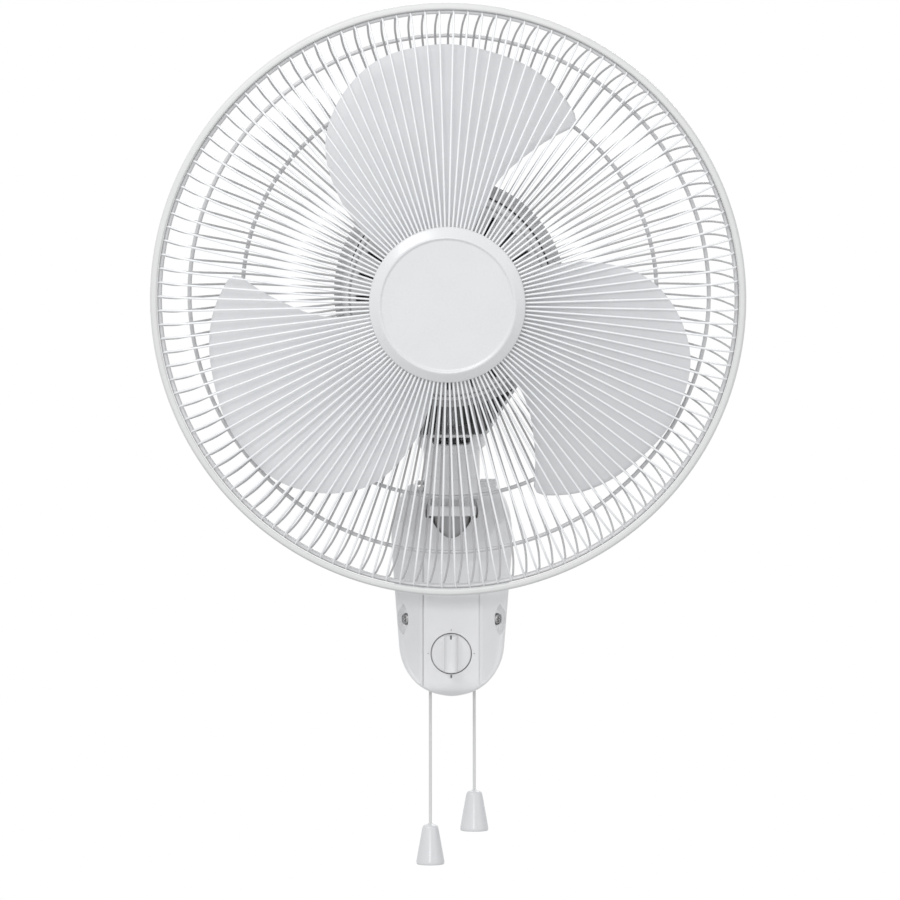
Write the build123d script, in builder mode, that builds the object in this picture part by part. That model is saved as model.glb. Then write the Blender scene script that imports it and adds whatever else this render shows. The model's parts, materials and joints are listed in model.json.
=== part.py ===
from build123d import *
from math import cos, radians, sin
import os

os.makedirs("parts", exist_ok=True)

# A wall mounted fan. Millimetres and degrees. The wall is the plane y = 0, the fan
# faces -Y, and the origin is the centre of the wall plate's back face.

# ---- wall plate and base ----
PLATE_WIDTH = 72.0
PLATE_HEIGHT = 140.0
PLATE_THICK = 2.0
PLATE_CORNER = 9.0
WALL_SCREW_SPACING_X = 52.0
WALL_SCREW_SPACING_Z = 112.0
WALL_SCREW_HOLE_R = 2.6

BASE_HALF_WIDTH = 49.0  # at the shoulders
BASE_HALF_HEIGHT = 84.5
BASE_BOTTOM_R = 42.0
BASE_BOTTOM_FLATS = 6
BASE_SIDE_LEAN = 4.8  # the sides close in towards the bottom
BASE_TOP_HALF_WIDTH = 36.0
BASE_SHOULDER_Z = 42.0
BASE_CORNER_HALF_WIDTH = 46.0
BASE_CORNER_Z = 66.0
BASE_DEPTH = 88.0
BASE_SLOPE_HEIGHT = 44.5  # the sloped top that the neck post comes out of
BASE_SLOPE_EASE = 8.0
BASE_CHIN = 6.0
PANEL_HALF_WIDTH = 23.3
GROOVE_WIDTH = 1.1
GROOVE_DEPTH = 1.2
GROOVE_TOP_Z = 26.0
GROOVE_ABOVE_BOTTOM = 14.5
GROOVE_BOTTOM_Z = GROOVE_ABOVE_BOTTOM - BASE_HALF_HEIGHT
FACET_DEPTH = 23.0  # how far the side facets fall back from the front panel
BASE_WALL = 2.4
CASE_DEPTH = 18.0
SEAM_GAP = 0.25

# ---- speed knob, switches and pull cords ----
KNOB_ABOVE_BOTTOM = 34.4
KNOB_Z = KNOB_ABOVE_BOTTOM - BASE_HALF_HEIGHT
KNOB_R = 15.8
KNOB_GAP = 0.5
KNOB_SIDES = 24
KNOB_POCKET_DEPTH = 7.0
KNOB_FLOOR_THICK = 3.0
KNOB_STAND = 1.2
GRIP_WIDTH = 11.0
GRIP_HEIGHT = 11.0
GRIP_EDGE = 1.2
SWITCH_SHAFT_R = 3.0
SWITCH_SIZE = 28.0
SWITCH_DEPTH = 17.0
CORD_X = 17.7
CORD_Y = -44.0
CORD_R = 1.2
CORD_GAP = 0.4
CORD_IN_SWITCH = 18.0
LEFT_PULL_TOP_Z = -189.3
RIGHT_PULL_TOP_Z = -162.1
PULL_HEIGHT = 33.0
PULL_BOTTOM_R = 11.7
PULL_TAPER = 9.1
PULL_EDGE = 1.2
PULL_SIDES = 24
PULL_SWITCH_WIDTH = 15.0
PULL_SWITCH_DEPTH = 16.0
PULL_SWITCH_ABOVE_BOTTOM = 18.5
PULL_SWITCH_BOTTOM_Z = PULL_SWITCH_ABOVE_BOTTOM - BASE_HALF_HEIGHT
PULL_SWITCH_HEIGHT = 22.0
BUSHING_R = 3.6
BUSHING_LENGTH = 7.0
CAPACITOR_WIDTH = 36.0
CAPACITOR_HEIGHT = 22.0
CAPACITOR_DEPTH = 14.0
CAPACITOR_GAP = 6.8  # above the post's flange
TERMINAL_PITCH = 10.0
TERMINALS_HEIGHT = 12.0
TERMINALS_DEPTH = 11.0
TERMINALS_RISE = 30.0
TERMINALS_Z = PULL_SWITCH_BOTTOM_Z + TERMINALS_RISE
GROMMET_R = 5.5
GROMMET_BORE_R = 3.6

# ---- flat sides of small round forms ----
SCREW_SIDES = 6
PILLAR_SIDES = 8
SMALL_SIDES = 12
ROUND_SIDES = 16

# ---- screws ----
COVER_SCREW_X = 38.6
COVER_SCREW_Z = -23.4
COVER_SCREW_HEAD_R = 4.0
COVER_SCREW_HEAD_HEIGHT = 2.4
COVER_SCREW_R = 1.9
COVER_SCREW_LENGTH = 16.0
PILLAR_DROP = 24.0  # from the front panel back to the screw pillars' ends
SCREW_HOLE_DEPTH = BASE_DEPTH / 3
SCALLOP_HEIGHT = 25.0
SCALLOP_WIDTH = 11.5
SCALLOP_DEPTH = 4.4
SCALLOP_FULLNESS = 0.76
POST_SCREW_X = 19.0
POST_SCREW_SPACING_Z = 36.0
POST_SCREW_HEAD_R = 3.6
POST_SCREW_HEAD_HEIGHT = 2.5
POST_SCREW_R = 2.0

# ---- neck: the post on the base, and the column that tilts on it ----
TILT_REST = 9.0  # the head looks this far down as it is drawn
PIVOT_Y = -66.0
PIVOT_BELOW_BASE_TOP = 1.8
PIVOT_Z = BASE_HALF_HEIGHT - PIVOT_BELOW_BASE_TOP
NECK_SIDES = 18
POST_R = 14.2
POST_BOTTOM_Z = -8.0
POST_COLLAR_R = 19.7
POST_COLLAR_BELOW_PIVOT = 24.2
POST_COLLAR_BOTTOM_Z = PIVOT_Z - POST_COLLAR_BELOW_PIVOT
POST_COLLAR_HEIGHT = 8.7
POST_COLLAR_GAP = 1.5
POST_HOLE_GAP = 2.4
POST_FLANGE_WIDTH = 48.0
POST_FLANGE_HEIGHT = 50.0
POST_FLANGE_THICK = 5.0
POST_FLANGE_RISE = 3.0
KNUCKLE_R = 7.5
KNUCKLE_HALF_WIDTH = 15.3
FORK_GAP = 0.3
COLUMN_R = 22.5
FORK_R = 10.5
COLUMN_BOTTOM = 8.5  # between the fork's arms, above the pivot
COLUMN_TOP = 29.2
CUP_R = 27.5
CUP_TOP = 49.3
CUP_BORE_R = 20.0
CUP_FLOOR = 34.0
CUP_EDGE = 4.0
CUP_SIDES = 24
WINDOW_WIDTH = 30.0
WINDOW_SILL = 37.0
SPINDLE_R = 7.6
SPINDLE_BOTTOM = 17.0
SPINDLE_FLANGE_R = 12.0
WASHER_R = 13.0
WASHER_THICK = 2.0
WASHER_GAP = 0.3
RUNNING_GAP = 0.05
TILT_PIN_R = 4.0
PIN_HEAD_R = 5.5
PIN_HEAD_LENGTH = 6.8
PIN_END_X = 31.0
THUMB_SCREW_R = 6.0
THUMB_SCREW_LENGTH = 13.5
THUMB_SIDES = 12

# ---- head: motor, measured from the guard's rim plane along the fan's axis ----
AXIS_ABOVE_PIVOT = 162.6
RIM_AHEAD_OF_NECK = 130.0
DRUM_R = 79.0
DRUM_FRONT = -27.0
CASE_WALL = 2.4
DRUM_EDGE = 2.0
DRUM_SIDES = 36
VENT_COUNT = 24
VENT_INNER_R = 53.0
VENT_OUTER_R = 70.5
VENT_WIDTH = 4.0
REAR_CASE_STEP = 5.0
REAR_CASE_R = DRUM_R + REAR_CASE_STEP
REAR_CASE_SIDES = 36
# sections of the rear case and of the room in it: behind the split, and in from the outline
REAR_CASE_SECTIONS = [(0, 0), (70, 3.7), (84, 11.8), (91, 23.9)]
REAR_ROOM_SECTIONS = [(-1, 0), (70, 3.7), (83, 11.2), (88.6, 21)]
TAIL_WIDTH = 66.0
TAIL_BOTTOM = -114.0
REAR_VENT_COUNT = 12
REAR_VENT_R = 34.0
TAIL_HEIGHT = 36.0
SHAFT_R = 4.0
SHAFT_BACK = -112.0
BEARING_R = 11.0
BEARING_LENGTH = 7.0
SHIELD_R = 47.0
SHIELD_SIDES = 16
SHIELD_WALL = 2.5
SHIELD_SPLIT = -68.0
SHIELD_BACK = -106.0
STATOR_BORE_R = 25.0
STATOR_FRONT = -51.0
STATOR_BACK = -85.0
WINDING_R = 40.0
WINDING_LENGTH = 11.0
ROTOR_AIR_GAP = 0.5
GEARBOX_WIDTH = 40.0
GEARBOX_TOP = 14.0
GEARBOX_BOTTOM = -92.0
GEARBOX_DEPTH = 43.0
BOSS_R = 18.5
BOSS_BOTTOM = 50.0  # above the pivot, along the neck
BOSS_HOLE_GAP = 0.7
SWING_MOTOR_R = 18.0
SWING_MOTOR_DROP = 68.0
SWING_MOTOR_LENGTH = 19.0

# ---- blades, with points of one blade seen from the front, hub at (0, 0) ----
BLADE_COUNT = 3
BLADE_THICK = 2.2
BLADE_CAMBER = [(-100, 4), (-50, 0), (0, -8), (50, -19), (100, -31)]  # across, and ahead of the rim
BLADE_TIP_GAP = 22.4  # between the blades' reach and where the guard wires end
BLADE_BACK_EDGE = [(-34, 24), (-60, 50), (-78, 73), (-90, 104), (-90, 130), (-78, 157),
                   (-56, 179.5), (-28, 190.5), (8, 193), (50, 181.5), (78, 164), (95, 142), (97, 134)]
BLADE_FRONT_EDGE = [(94, 129.5), (72, 118), (47, 99.5), (35, 86), (28, 73), (20, 55), (12, 34)]
HUB_R = 42.0
HUB_FRONT = 5.0
HUB_BACK = -20.0
HUB_EDGE = 5.0
SPINNER_R = 15.0
SPINNER_FRONT = 10.5

# ---- guard ----
RIM_R = 225.0
RIM_LIP = 5.8  # how far the band's front edge reaches in
RIM_INNER_R = RIM_R - RIM_LIP
RIM_FRONT = 6.5
RIM_BACK = -7.5
BAND_WALL = 1.4
WIRE_R = 0.9
RING_SIZE = 3.2
RING_SIDES = 48
SUPPORT_SIDES = 36
WIRE_COUNT = 120
WIRE_PITCH = 360.0 / WIRE_COUNT
WELD_GAP = 0.05
WIRE_END_INSET = 7.6
OUTER_RING_R = RIM_R - WIRE_END_INSET  # where the wires end
OUTER_RING_GAP = 0.1
OUTER_RING_WIDTH = 7.7
FRONT_RING_Z = 1.8
REAR_RING_Z = -1.8
CAP_WIRE_Z = 16.0
FRONT_BEND_INSET = 14.4
FRONT_BEND_R = OUTER_RING_R - FRONT_BEND_INSET
FRONT_BEND_Z = 12.2
FRONT_WIRE_END_Z = 4.35
CAP_R = 59.0
CAP_WIRE_LAP = 9.0
FRONT_WIRE_START_R = CAP_R - CAP_WIRE_LAP
CAP_SIDES = 40
CAP_BEVEL_WIDTH = 7.5
CAP_HEIGHT = 6.0
CAP_STEP = 0.8
CAP_PLATE_INSET = 5.0
CAP_PLATE_THICK = 2.0
CAP_PLATE_GAP = 0.2
RING_1_INSET = 18.4
RING_1_R = OUTER_RING_R - RING_1_INSET
RING_SPACING = 39.0
RING_2_R = RING_1_R - RING_SPACING
RING_1_Z = -39.1
RING_2_Z = -63.8
REAR_WIRE_END_Z = -4.0
RING_1_WIRE_Z = -35.0
RING_2_WIRE_Z = -61.0
BACK_WIRE_Z = -66.0
BACK_PLATE_GAP = 0.6
BACK_PLATE_INNER_R = DRUM_R + BACK_PLATE_GAP
BACK_PLATE_WIDTH = 10.4
BACK_WIRE_LAP = 6.0
BACK_WIRE_END_R = BACK_PLATE_INNER_R + BACK_PLATE_WIDTH - BACK_WIRE_LAP
BACK_PLATE_THICK = 2.0

# ---- frames of the neck and of the head ----
TILT_COS = cos(radians(TILT_REST))
TILT_SIN = sin(radians(TILT_REST))
FORWARD = Vector(0, -TILT_COS, -TILT_SIN)
UPWARD = Vector(0, -TILT_SIN, TILT_COS)
PIVOT = Vector(0, PIVOT_Y, PIVOT_Z)
HUB = PIVOT + UPWARD * AXIS_ABOVE_PIVOT + FORWARD * RIM_AHEAD_OF_NECK

NECK = Plane(origin=PIVOT, x_dir=(1, 0, 0), z_dir=UPWARD)
PIN = Plane(origin=PIVOT, x_dir=UPWARD, z_dir=(1, 0, 0))
NECK_SIDE = Plane(origin=PIVOT, x_dir=FORWARD, z_dir=(-1, 0, 0))
NECK_AXIS = Axis(PIVOT, UPWARD)
HEAD = Plane(origin=HUB, x_dir=(1, 0, 0), z_dir=FORWARD)
HEAD_SIDE = Plane(origin=HUB, x_dir=UPWARD, z_dir=(1, 0, 0))
HEAD_AXIS = Axis(HUB, FORWARD)

SEAM_Y = -CASE_DEPTH
POST_FLANGE_Z = POST_BOTTOM_Z + POST_R + POST_FLANGE_RISE
FLOOR_Y = -PLATE_THICK - BASE_WALL
SLOPE_TOP_Z = BASE_HALF_HEIGHT
SLOPE_BOTTOM_Z = BASE_HALF_HEIGHT - BASE_SLOPE_HEIGHT
FACET_SLOPE = FACET_DEPTH / (BASE_HALF_WIDTH + 1 - PANEL_HALF_WIDTH)


def save(piece, name):
    piece.label = name
    export_step(piece, f"parts/{name}.step")


def base_outline(inset):
    """The base seen from the front: square shoulders, sides that close in, a round bottom."""
    half = []
    for i in range(BASE_BOTTOM_FLATS + 1):
        angle = radians(i / BASE_BOTTOM_FLATS * (90 - BASE_SIDE_LEAN) - 90)
        half.append((BASE_BOTTOM_R * cos(angle), BASE_BOTTOM_R * (1 + sin(angle)) - BASE_HALF_HEIGHT))
    half.append((BASE_HALF_WIDTH, BASE_SHOULDER_Z))
    half.append((BASE_CORNER_HALF_WIDTH, BASE_CORNER_Z))
    half.append((BASE_TOP_HALF_WIDTH, BASE_HALF_HEIGHT))
    other_half = [(-x, z) for x, z in reversed(half[1:])]
    with BuildSketch() as outline:
        Polygon(*half, *other_half, align=None)
        if inset:
            offset(amount=-inset)
    return outline.sketch


def base_side(inset, back):
    """The base seen from the side: flat top, sloped shoulder, upright front, cut-back chin."""
    with BuildSketch() as side:
        with BuildLine():
            Polyline(
                (back + inset, -BASE_HALF_HEIGHT),
                (back + inset, BASE_HALF_HEIGHT),
                (BASE_SLOPE_HEIGHT - BASE_DEPTH, SLOPE_TOP_Z),
                (-BASE_DEPTH, SLOPE_BOTTOM_Z),
                (-BASE_DEPTH, -BASE_HALF_HEIGHT),
                close=True,
            )
        make_face()
        chamfer(side.vertices().sort_by_distance((-BASE_DEPTH, -BASE_HALF_HEIGHT))[0], BASE_CHIN)
        chamfer(side.vertices().sort_by_distance((-BASE_DEPTH, SLOPE_BOTTOM_Z))[0], BASE_SLOPE_EASE)
        if inset:
            offset(amount=-inset)
    return side.sketch


def base_plan(inset, back):
    """The base seen from above: a flat front panel, then facets that fall back at each side."""
    side = BASE_HALF_WIDTH + 1
    with BuildSketch() as plan:
        with BuildLine():
            Polyline(
                (-side, back + inset),
                (-side, FACET_DEPTH - BASE_DEPTH),
                (-PANEL_HALF_WIDTH, -BASE_DEPTH),
                (PANEL_HALF_WIDTH, -BASE_DEPTH),
                (side, FACET_DEPTH - BASE_DEPTH),
                (side, back + inset),
                close=True,
            )
        make_face()
        if inset:
            offset(amount=-inset)
    return plan.sketch


def base_form(inset, back):
    """The base's outer form, or the room inside it, as what its three views have in common."""
    with BuildPart() as form:
        with BuildSketch(Plane.XZ.offset(-back)):
            add(base_outline(inset))
        extrude(amount=back + BASE_DEPTH)
        with BuildSketch(Plane.YZ):
            add(base_side(inset, back))
        extrude(amount=BASE_HALF_WIDTH + 2, both=True, mode=Mode.INTERSECT)
        with BuildSketch(Plane.XY):
            add(base_plan(inset, back))
        extrude(amount=BASE_HALF_HEIGHT + 2, both=True, mode=Mode.INTERSECT)
    return form.part


def cover_screw_plane(side):
    """On a side facet at a cover screw, looking out of the facet. Side is -1 left, 1 right."""
    y = (COVER_SCREW_X - PANEL_HALF_WIDTH) * FACET_SLOPE - BASE_DEPTH
    return Plane(
        origin=(side * COVER_SCREW_X, y, COVER_SCREW_Z),
        x_dir=(0, 0, 1),
        z_dir=(side * FACET_SLOPE, -1, 0),
    )


def almond(plane, grow, height):
    """The form of the hollow round a cover screw: a long eye that comes to a point at each end."""
    long = SCALLOP_HEIGHT / 2 + grow
    wide = SCALLOP_WIDTH / 2 + grow
    half = [(long / 2, SCALLOP_FULLNESS * wide), (0, wide), (-long / 2, SCALLOP_FULLNESS * wide)]
    other_half = [(x, -y) for x, y in reversed(half)]
    with BuildPart() as form:
        with BuildSketch(plane):
            Polygon((long, 0), *half, (-long, 0), *other_half, align=None)
        extrude(amount=height)
    return form.part


def turned(points):
    """A ring turned about the fan's axis from points (radius, distance ahead of the rim)."""
    with BuildPart() as ring:
        with BuildSketch(HEAD_SIDE):
            with BuildLine():
                Polyline(*points, close=True)
            make_face()
        revolve(axis=HEAD_AXIS)
    return ring.part


def prism(plane, radius, sides, length, taper=0):
    """A rod of flat sides from a plane along its normal, or against it where the length is negative."""
    with BuildPart() as rod:
        with BuildSketch(plane):
            RegularPolygon(radius, sides)
        extrude(amount=length, taper=taper)
    return rod.part


def screw_hole(plane):
    """The hole of a cover screw, down from the facet that the screw sits on."""
    return prism(plane, COVER_SCREW_R + RUNNING_GAP, SCREW_SIDES, -SCREW_HOLE_DEPTH)


def ring_prism(inner, outer, back, front, sides):
    """A ring of flat sides about the fan's axis."""
    with BuildPart() as ring:
        with BuildSketch(HEAD.offset(back)):
            RegularPolygon(outer, sides)
            if inner:
                RegularPolygon(inner, sides, mode=Mode.SUBTRACT)
        extrude(amount=front - back)
    return ring.part


def tube(inner, outer, back, front):
    return turned([(inner, back), (outer, back), (outer, front), (inner, front)])


# ---- base ----
wall_screws = GridLocations(WALL_SCREW_SPACING_X, WALL_SCREW_SPACING_Z, 2, 2)
pull_places = [(-CORD_X, CORD_Y), (CORD_X, CORD_Y)]
GROMMET_Y = (SEAM_Y + FLOOR_Y) / 2

with BuildPart() as wall_plate:
    with BuildSketch(Plane.XZ) as plate_outline:
        Rectangle(PLATE_WIDTH, PLATE_HEIGHT)
        chamfer(plate_outline.vertices(), PLATE_CORNER)
        with wall_screws:
            Circle(WALL_SCREW_HOLE_R, mode=Mode.SUBTRACT)
    extrude(amount=PLATE_THICK)
save(wall_plate.part, "wall_plate")

SWITCH_BOSS_HEIGHT = FLOOR_Y - CORD_Y - PULL_SWITCH_DEPTH / 2
PILLAR_R = COVER_SCREW_R + 3
PILLAR_X = COVER_SCREW_X - 10
PILLAR_TOP_Y = PILLAR_DROP - BASE_DEPTH
with BuildPart() as base_back_case:
    with BuildSketch(Plane.XZ):
        add(base_outline(0))
    extrude(amount=CASE_DEPTH)
    with BuildSketch(Plane.XZ.offset(-FLOOR_Y)):
        add(base_outline(BASE_WALL))
    extrude(amount=CASE_DEPTH, mode=Mode.SUBTRACT)
    with BuildSketch(Plane.XZ) as recess_outline:
        Rectangle(PLATE_WIDTH + 2 * SEAM_GAP, PLATE_HEIGHT + 2 * SEAM_GAP)
        chamfer(recess_outline.vertices(), PLATE_CORNER)
    extrude(amount=PLATE_THICK, mode=Mode.SUBTRACT)
    with BuildSketch(Plane.XZ):
        with wall_screws:
            Circle(WALL_SCREW_HOLE_R)
    extrude(amount=CASE_DEPTH, mode=Mode.SUBTRACT)
    with BuildSketch(Plane.XZ.offset(-FLOOR_Y)):
        with Locations((-CORD_X, PULL_SWITCH_BOTTOM_Z + 10), (CORD_X, PULL_SWITCH_BOTTOM_Z + 10)):
            Rectangle(10, 12)
    extrude(amount=SWITCH_BOSS_HEIGHT)
    with BuildSketch(Plane.XZ.offset(-FLOOR_Y)):
        with Locations((-PILLAR_X, COVER_SCREW_Z), (PILLAR_X, COVER_SCREW_Z)):
            RegularPolygon(PILLAR_R, PILLAR_SIDES)
    extrude(amount=FLOOR_Y - PILLAR_TOP_Y)
    for side in (-1, 1):
        add(screw_hole(cover_screw_plane(side)), mode=Mode.SUBTRACT)
    with BuildSketch(Plane.XY.offset(-BASE_HALF_HEIGHT - 1)):
        with Locations((0, GROMMET_Y)):
            RegularPolygon(GROMMET_R, ROUND_SIDES)
    extrude(amount=BASE_WALL + 4, mode=Mode.SUBTRACT)
save(base_back_case.part, "base_back_case")

with BuildPart() as cable_grommet:
    with BuildSketch(Plane.XY.offset(-BASE_HALF_HEIGHT - 0.6)):
        with Locations((0, GROMMET_Y)):
            RegularPolygon(GROMMET_R - RUNNING_GAP, ROUND_SIDES)
            Circle(GROMMET_BORE_R, mode=Mode.SUBTRACT)
    extrude(amount=BASE_WALL + 2)
save(cable_grommet.part, "cable_grommet")

KNOB_FLOOR_Y = KNOB_POCKET_DEPTH - BASE_DEPTH
SWITCH_FRONT_Y = KNOB_FLOOR_Y + KNOB_FLOOR_THICK
with BuildPart() as base_front_cover:
    add(base_form(0, 0))
    add(base_form(BASE_WALL, 1), mode=Mode.SUBTRACT)
    with BuildSketch(Plane.XZ.offset(CASE_DEPTH + SEAM_GAP)):
        Rectangle(3 * BASE_HALF_WIDTH, 3 * BASE_HALF_HEIGHT)
    extrude(amount=-BASE_DEPTH, mode=Mode.SUBTRACT)
    with BuildSketch(Plane.XZ.offset(-SWITCH_FRONT_Y)):
        with Locations((0, KNOB_Z)):
            RegularPolygon(KNOB_R + KNOB_GAP + BASE_WALL, KNOB_SIDES)
    extrude(amount=KNOB_POCKET_DEPTH + KNOB_FLOOR_THICK - BASE_WALL / 2)
    with BuildSketch(Plane.XZ.offset(-KNOB_FLOOR_Y)):
        with Locations((0, KNOB_Z)):
            RegularPolygon(KNOB_R + KNOB_GAP, KNOB_SIDES)
    extrude(amount=BASE_DEPTH, mode=Mode.SUBTRACT)
    with BuildSketch(Plane.XZ):
        with Locations((0, KNOB_Z)):
            RegularPolygon(SWITCH_SHAFT_R + KNOB_GAP, SMALL_SIDES)
    extrude(amount=BASE_DEPTH, mode=Mode.SUBTRACT)
    with BuildSketch():
        with Locations((0, PIVOT_Y)):
            RegularPolygon(POST_R + POST_HOLE_GAP, NECK_SIDES)
    extrude(amount=BASE_HALF_HEIGHT + 1, mode=Mode.SUBTRACT)
    with BuildSketch(Plane.XY.offset(POST_COLLAR_BOTTOM_Z - POST_COLLAR_GAP)):
        with Locations((0, PIVOT_Y)):
            RegularPolygon(POST_COLLAR_R + POST_COLLAR_GAP, NECK_SIDES)
    extrude(amount=BASE_HALF_HEIGHT, mode=Mode.SUBTRACT)
    with BuildSketch(Plane.XY.offset(-BASE_HALF_HEIGHT - 1)):
        with Locations(*pull_places):
            RegularPolygon(BUSHING_R, SMALL_SIDES)
    extrude(amount=BUSHING_LENGTH + 2, mode=Mode.SUBTRACT)
    with BuildSketch(Plane.XZ.offset(BASE_DEPTH)):
        with Locations((0, (GROOVE_TOP_Z + GROOVE_BOTTOM_Z) / 2)):
            with GridLocations(2 * PANEL_HALF_WIDTH - GROOVE_WIDTH - 1, 0, 2, 1):
                Rectangle(GROOVE_WIDTH, GROOVE_TOP_Z - GROOVE_BOTTOM_Z)
    extrude(amount=-GROOVE_DEPTH, mode=Mode.SUBTRACT)
    for side in (-1, 1):
        facet = cover_screw_plane(side)
        add(almond(facet.offset(-SCALLOP_DEPTH - BASE_WALL), BASE_WALL, SCALLOP_DEPTH + BASE_WALL / 2))
        add(almond(facet.offset(-SCALLOP_DEPTH), 0, 2 * SCALLOP_DEPTH), mode=Mode.SUBTRACT)
        add(screw_hole(facet), mode=Mode.SUBTRACT)
save(base_front_cover.part, "base_front_cover")

with BuildPart() as cover_screws:
    for side in (-1, 1):
        seat = cover_screw_plane(side).offset(-SCALLOP_DEPTH)
        add(prism(seat, COVER_SCREW_HEAD_R, ROUND_SIDES, COVER_SCREW_HEAD_HEIGHT))
        add(prism(seat, COVER_SCREW_R, SCREW_SIDES, -COVER_SCREW_LENGTH))
save(cover_screws.part, "cover_screws")

with BuildPart() as cord_bushings:
    with BuildSketch(Plane.XY.offset(-BASE_HALF_HEIGHT)):
        with Locations(*pull_places):
            RegularPolygon(BUSHING_R - RUNNING_GAP, SMALL_SIDES)
            RegularPolygon(CORD_R + CORD_GAP, SMALL_SIDES, mode=Mode.SUBTRACT)
    extrude(amount=BUSHING_LENGTH)
save(cord_bushings.part, "cord_bushings")

with BuildPart() as rotary_switch:
    with BuildSketch(Plane.XZ.offset(-SWITCH_FRONT_Y - SWITCH_DEPTH)):
        with Locations((0, KNOB_Z)):
            Rectangle(SWITCH_SIZE, SWITCH_SIZE)
            Circle(SWITCH_SHAFT_R + RUNNING_GAP, mode=Mode.SUBTRACT)
    extrude(amount=SWITCH_DEPTH)
save(rotary_switch.part, "rotary_switch")

with BuildPart() as pull_switches:
    with BuildSketch(Plane.XY.offset(PULL_SWITCH_BOTTOM_Z)):
        with Locations(*pull_places):
            Rectangle(PULL_SWITCH_WIDTH, PULL_SWITCH_DEPTH)
            RegularPolygon(CORD_R + CORD_GAP, SMALL_SIDES, mode=Mode.SUBTRACT)
    extrude(amount=PULL_SWITCH_HEIGHT)
save(pull_switches.part, "pull_switches")

capacitor_z = POST_FLANGE_Z + POST_FLANGE_HEIGHT / 2 + CAPACITOR_GAP + CAPACITOR_HEIGHT / 2
with BuildPart() as capacitor:
    with BuildSketch(Plane.XZ.offset(-FLOOR_Y)) as capacitor_outline:
        with Locations((0, capacitor_z)):
            Rectangle(CAPACITOR_WIDTH, CAPACITOR_HEIGHT)
        chamfer(capacitor_outline.vertices(), 3)
    extrude(amount=CAPACITOR_DEPTH)
save(capacitor.part, "capacitor")

with BuildPart() as terminal_block:
    with BuildSketch(Plane.XZ.offset(-FLOOR_Y)):
        with Locations((0, TERMINALS_Z)):
            Rectangle(TERMINAL_PITCH * 3, TERMINALS_HEIGHT)
    extrude(amount=TERMINALS_DEPTH)
    with BuildSketch(Plane.XZ.offset(TERMINALS_DEPTH - FLOOR_Y)):
        with Locations((-TERMINAL_PITCH, TERMINALS_Z), (0, TERMINALS_Z), (TERMINAL_PITCH, TERMINALS_Z)):
            Rectangle(TERMINAL_PITCH / 2, TERMINALS_HEIGHT)
    extrude(amount=-TERMINALS_DEPTH / 2, mode=Mode.SUBTRACT)
save(terminal_block.part, "terminal_block")

# ---- neck post, fixed in the base ----
POST_COLLAR_TOP_Z = POST_COLLAR_BOTTOM_Z + POST_COLLAR_HEIGHT
post_screw_places = [
    (x, POST_FLANGE_Z + z)
    for x in (-POST_SCREW_X, POST_SCREW_X)
    for z in (-POST_SCREW_SPACING_Z / 2, POST_SCREW_SPACING_Z / 2)
]
with BuildPart() as neck_post:
    with BuildSketch(Plane.XY.offset(POST_BOTTOM_Z)):
        with Locations((0, PIVOT_Y)):
            RegularPolygon(POST_R, NECK_SIDES)
    extrude(amount=POST_COLLAR_BOTTOM_Z - POST_BOTTOM_Z)
    with BuildSketch(Plane.XY.offset(POST_COLLAR_BOTTOM_Z)):
        with Locations((0, PIVOT_Y)):
            RegularPolygon(POST_COLLAR_R, NECK_SIDES)
    extrude(amount=POST_COLLAR_HEIGHT)
    with BuildSketch(Plane.XY.offset(POST_COLLAR_TOP_Z)):
        with Locations((0, PIVOT_Y)):
            Rectangle(2 * KNUCKLE_HALF_WIDTH, 2 * KNUCKLE_R)
    extrude(amount=PIVOT_Z - POST_COLLAR_TOP_Z)
    with BuildSketch(Plane.YZ):
        with Locations((PIVOT_Y, PIVOT_Z)):
            RegularPolygon(KNUCKLE_R, ROUND_SIDES)
    extrude(amount=KNUCKLE_HALF_WIDTH, both=True)
    with BuildSketch(Plane.YZ):
        with Locations((PIVOT_Y, PIVOT_Z)):
            Circle(TILT_PIN_R + RUNNING_GAP)
    extrude(amount=KNUCKLE_HALF_WIDTH, both=True, mode=Mode.SUBTRACT)
    with BuildSketch(Plane.XZ.offset(-FLOOR_Y)):
        with Locations((0, POST_BOTTOM_Z + POST_R)):
            Rectangle(2 * POST_R - 4, 2 * POST_R)
    extrude(amount=FLOOR_Y - PIVOT_Y)
    with BuildSketch(Plane.XZ.offset(-FLOOR_Y)):
        with Locations((0, POST_FLANGE_Z)):
            Rectangle(POST_FLANGE_WIDTH, POST_FLANGE_HEIGHT)
        with Locations(*post_screw_places):
            RegularPolygon(POST_SCREW_R + RUNNING_GAP, SCREW_SIDES, mode=Mode.SUBTRACT)
    extrude(amount=POST_FLANGE_THICK)
save(neck_post.part, "neck_post")

with BuildPart() as post_screws:
    with BuildSketch(Plane.XZ.offset(POST_FLANGE_THICK - FLOOR_Y)):
        with Locations(*post_screw_places):
            RegularPolygon(POST_SCREW_HEAD_R, SCREW_SIDES)
    extrude(amount=POST_SCREW_HEAD_HEIGHT)
    with BuildSketch(Plane.XZ.offset(-FLOOR_Y + RUNNING_GAP)):
        with Locations(*post_screw_places):
            RegularPolygon(POST_SCREW_R, SCREW_SIDES)
    extrude(amount=POST_FLANGE_THICK)
save(post_screws.part, "post_screws")

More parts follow.
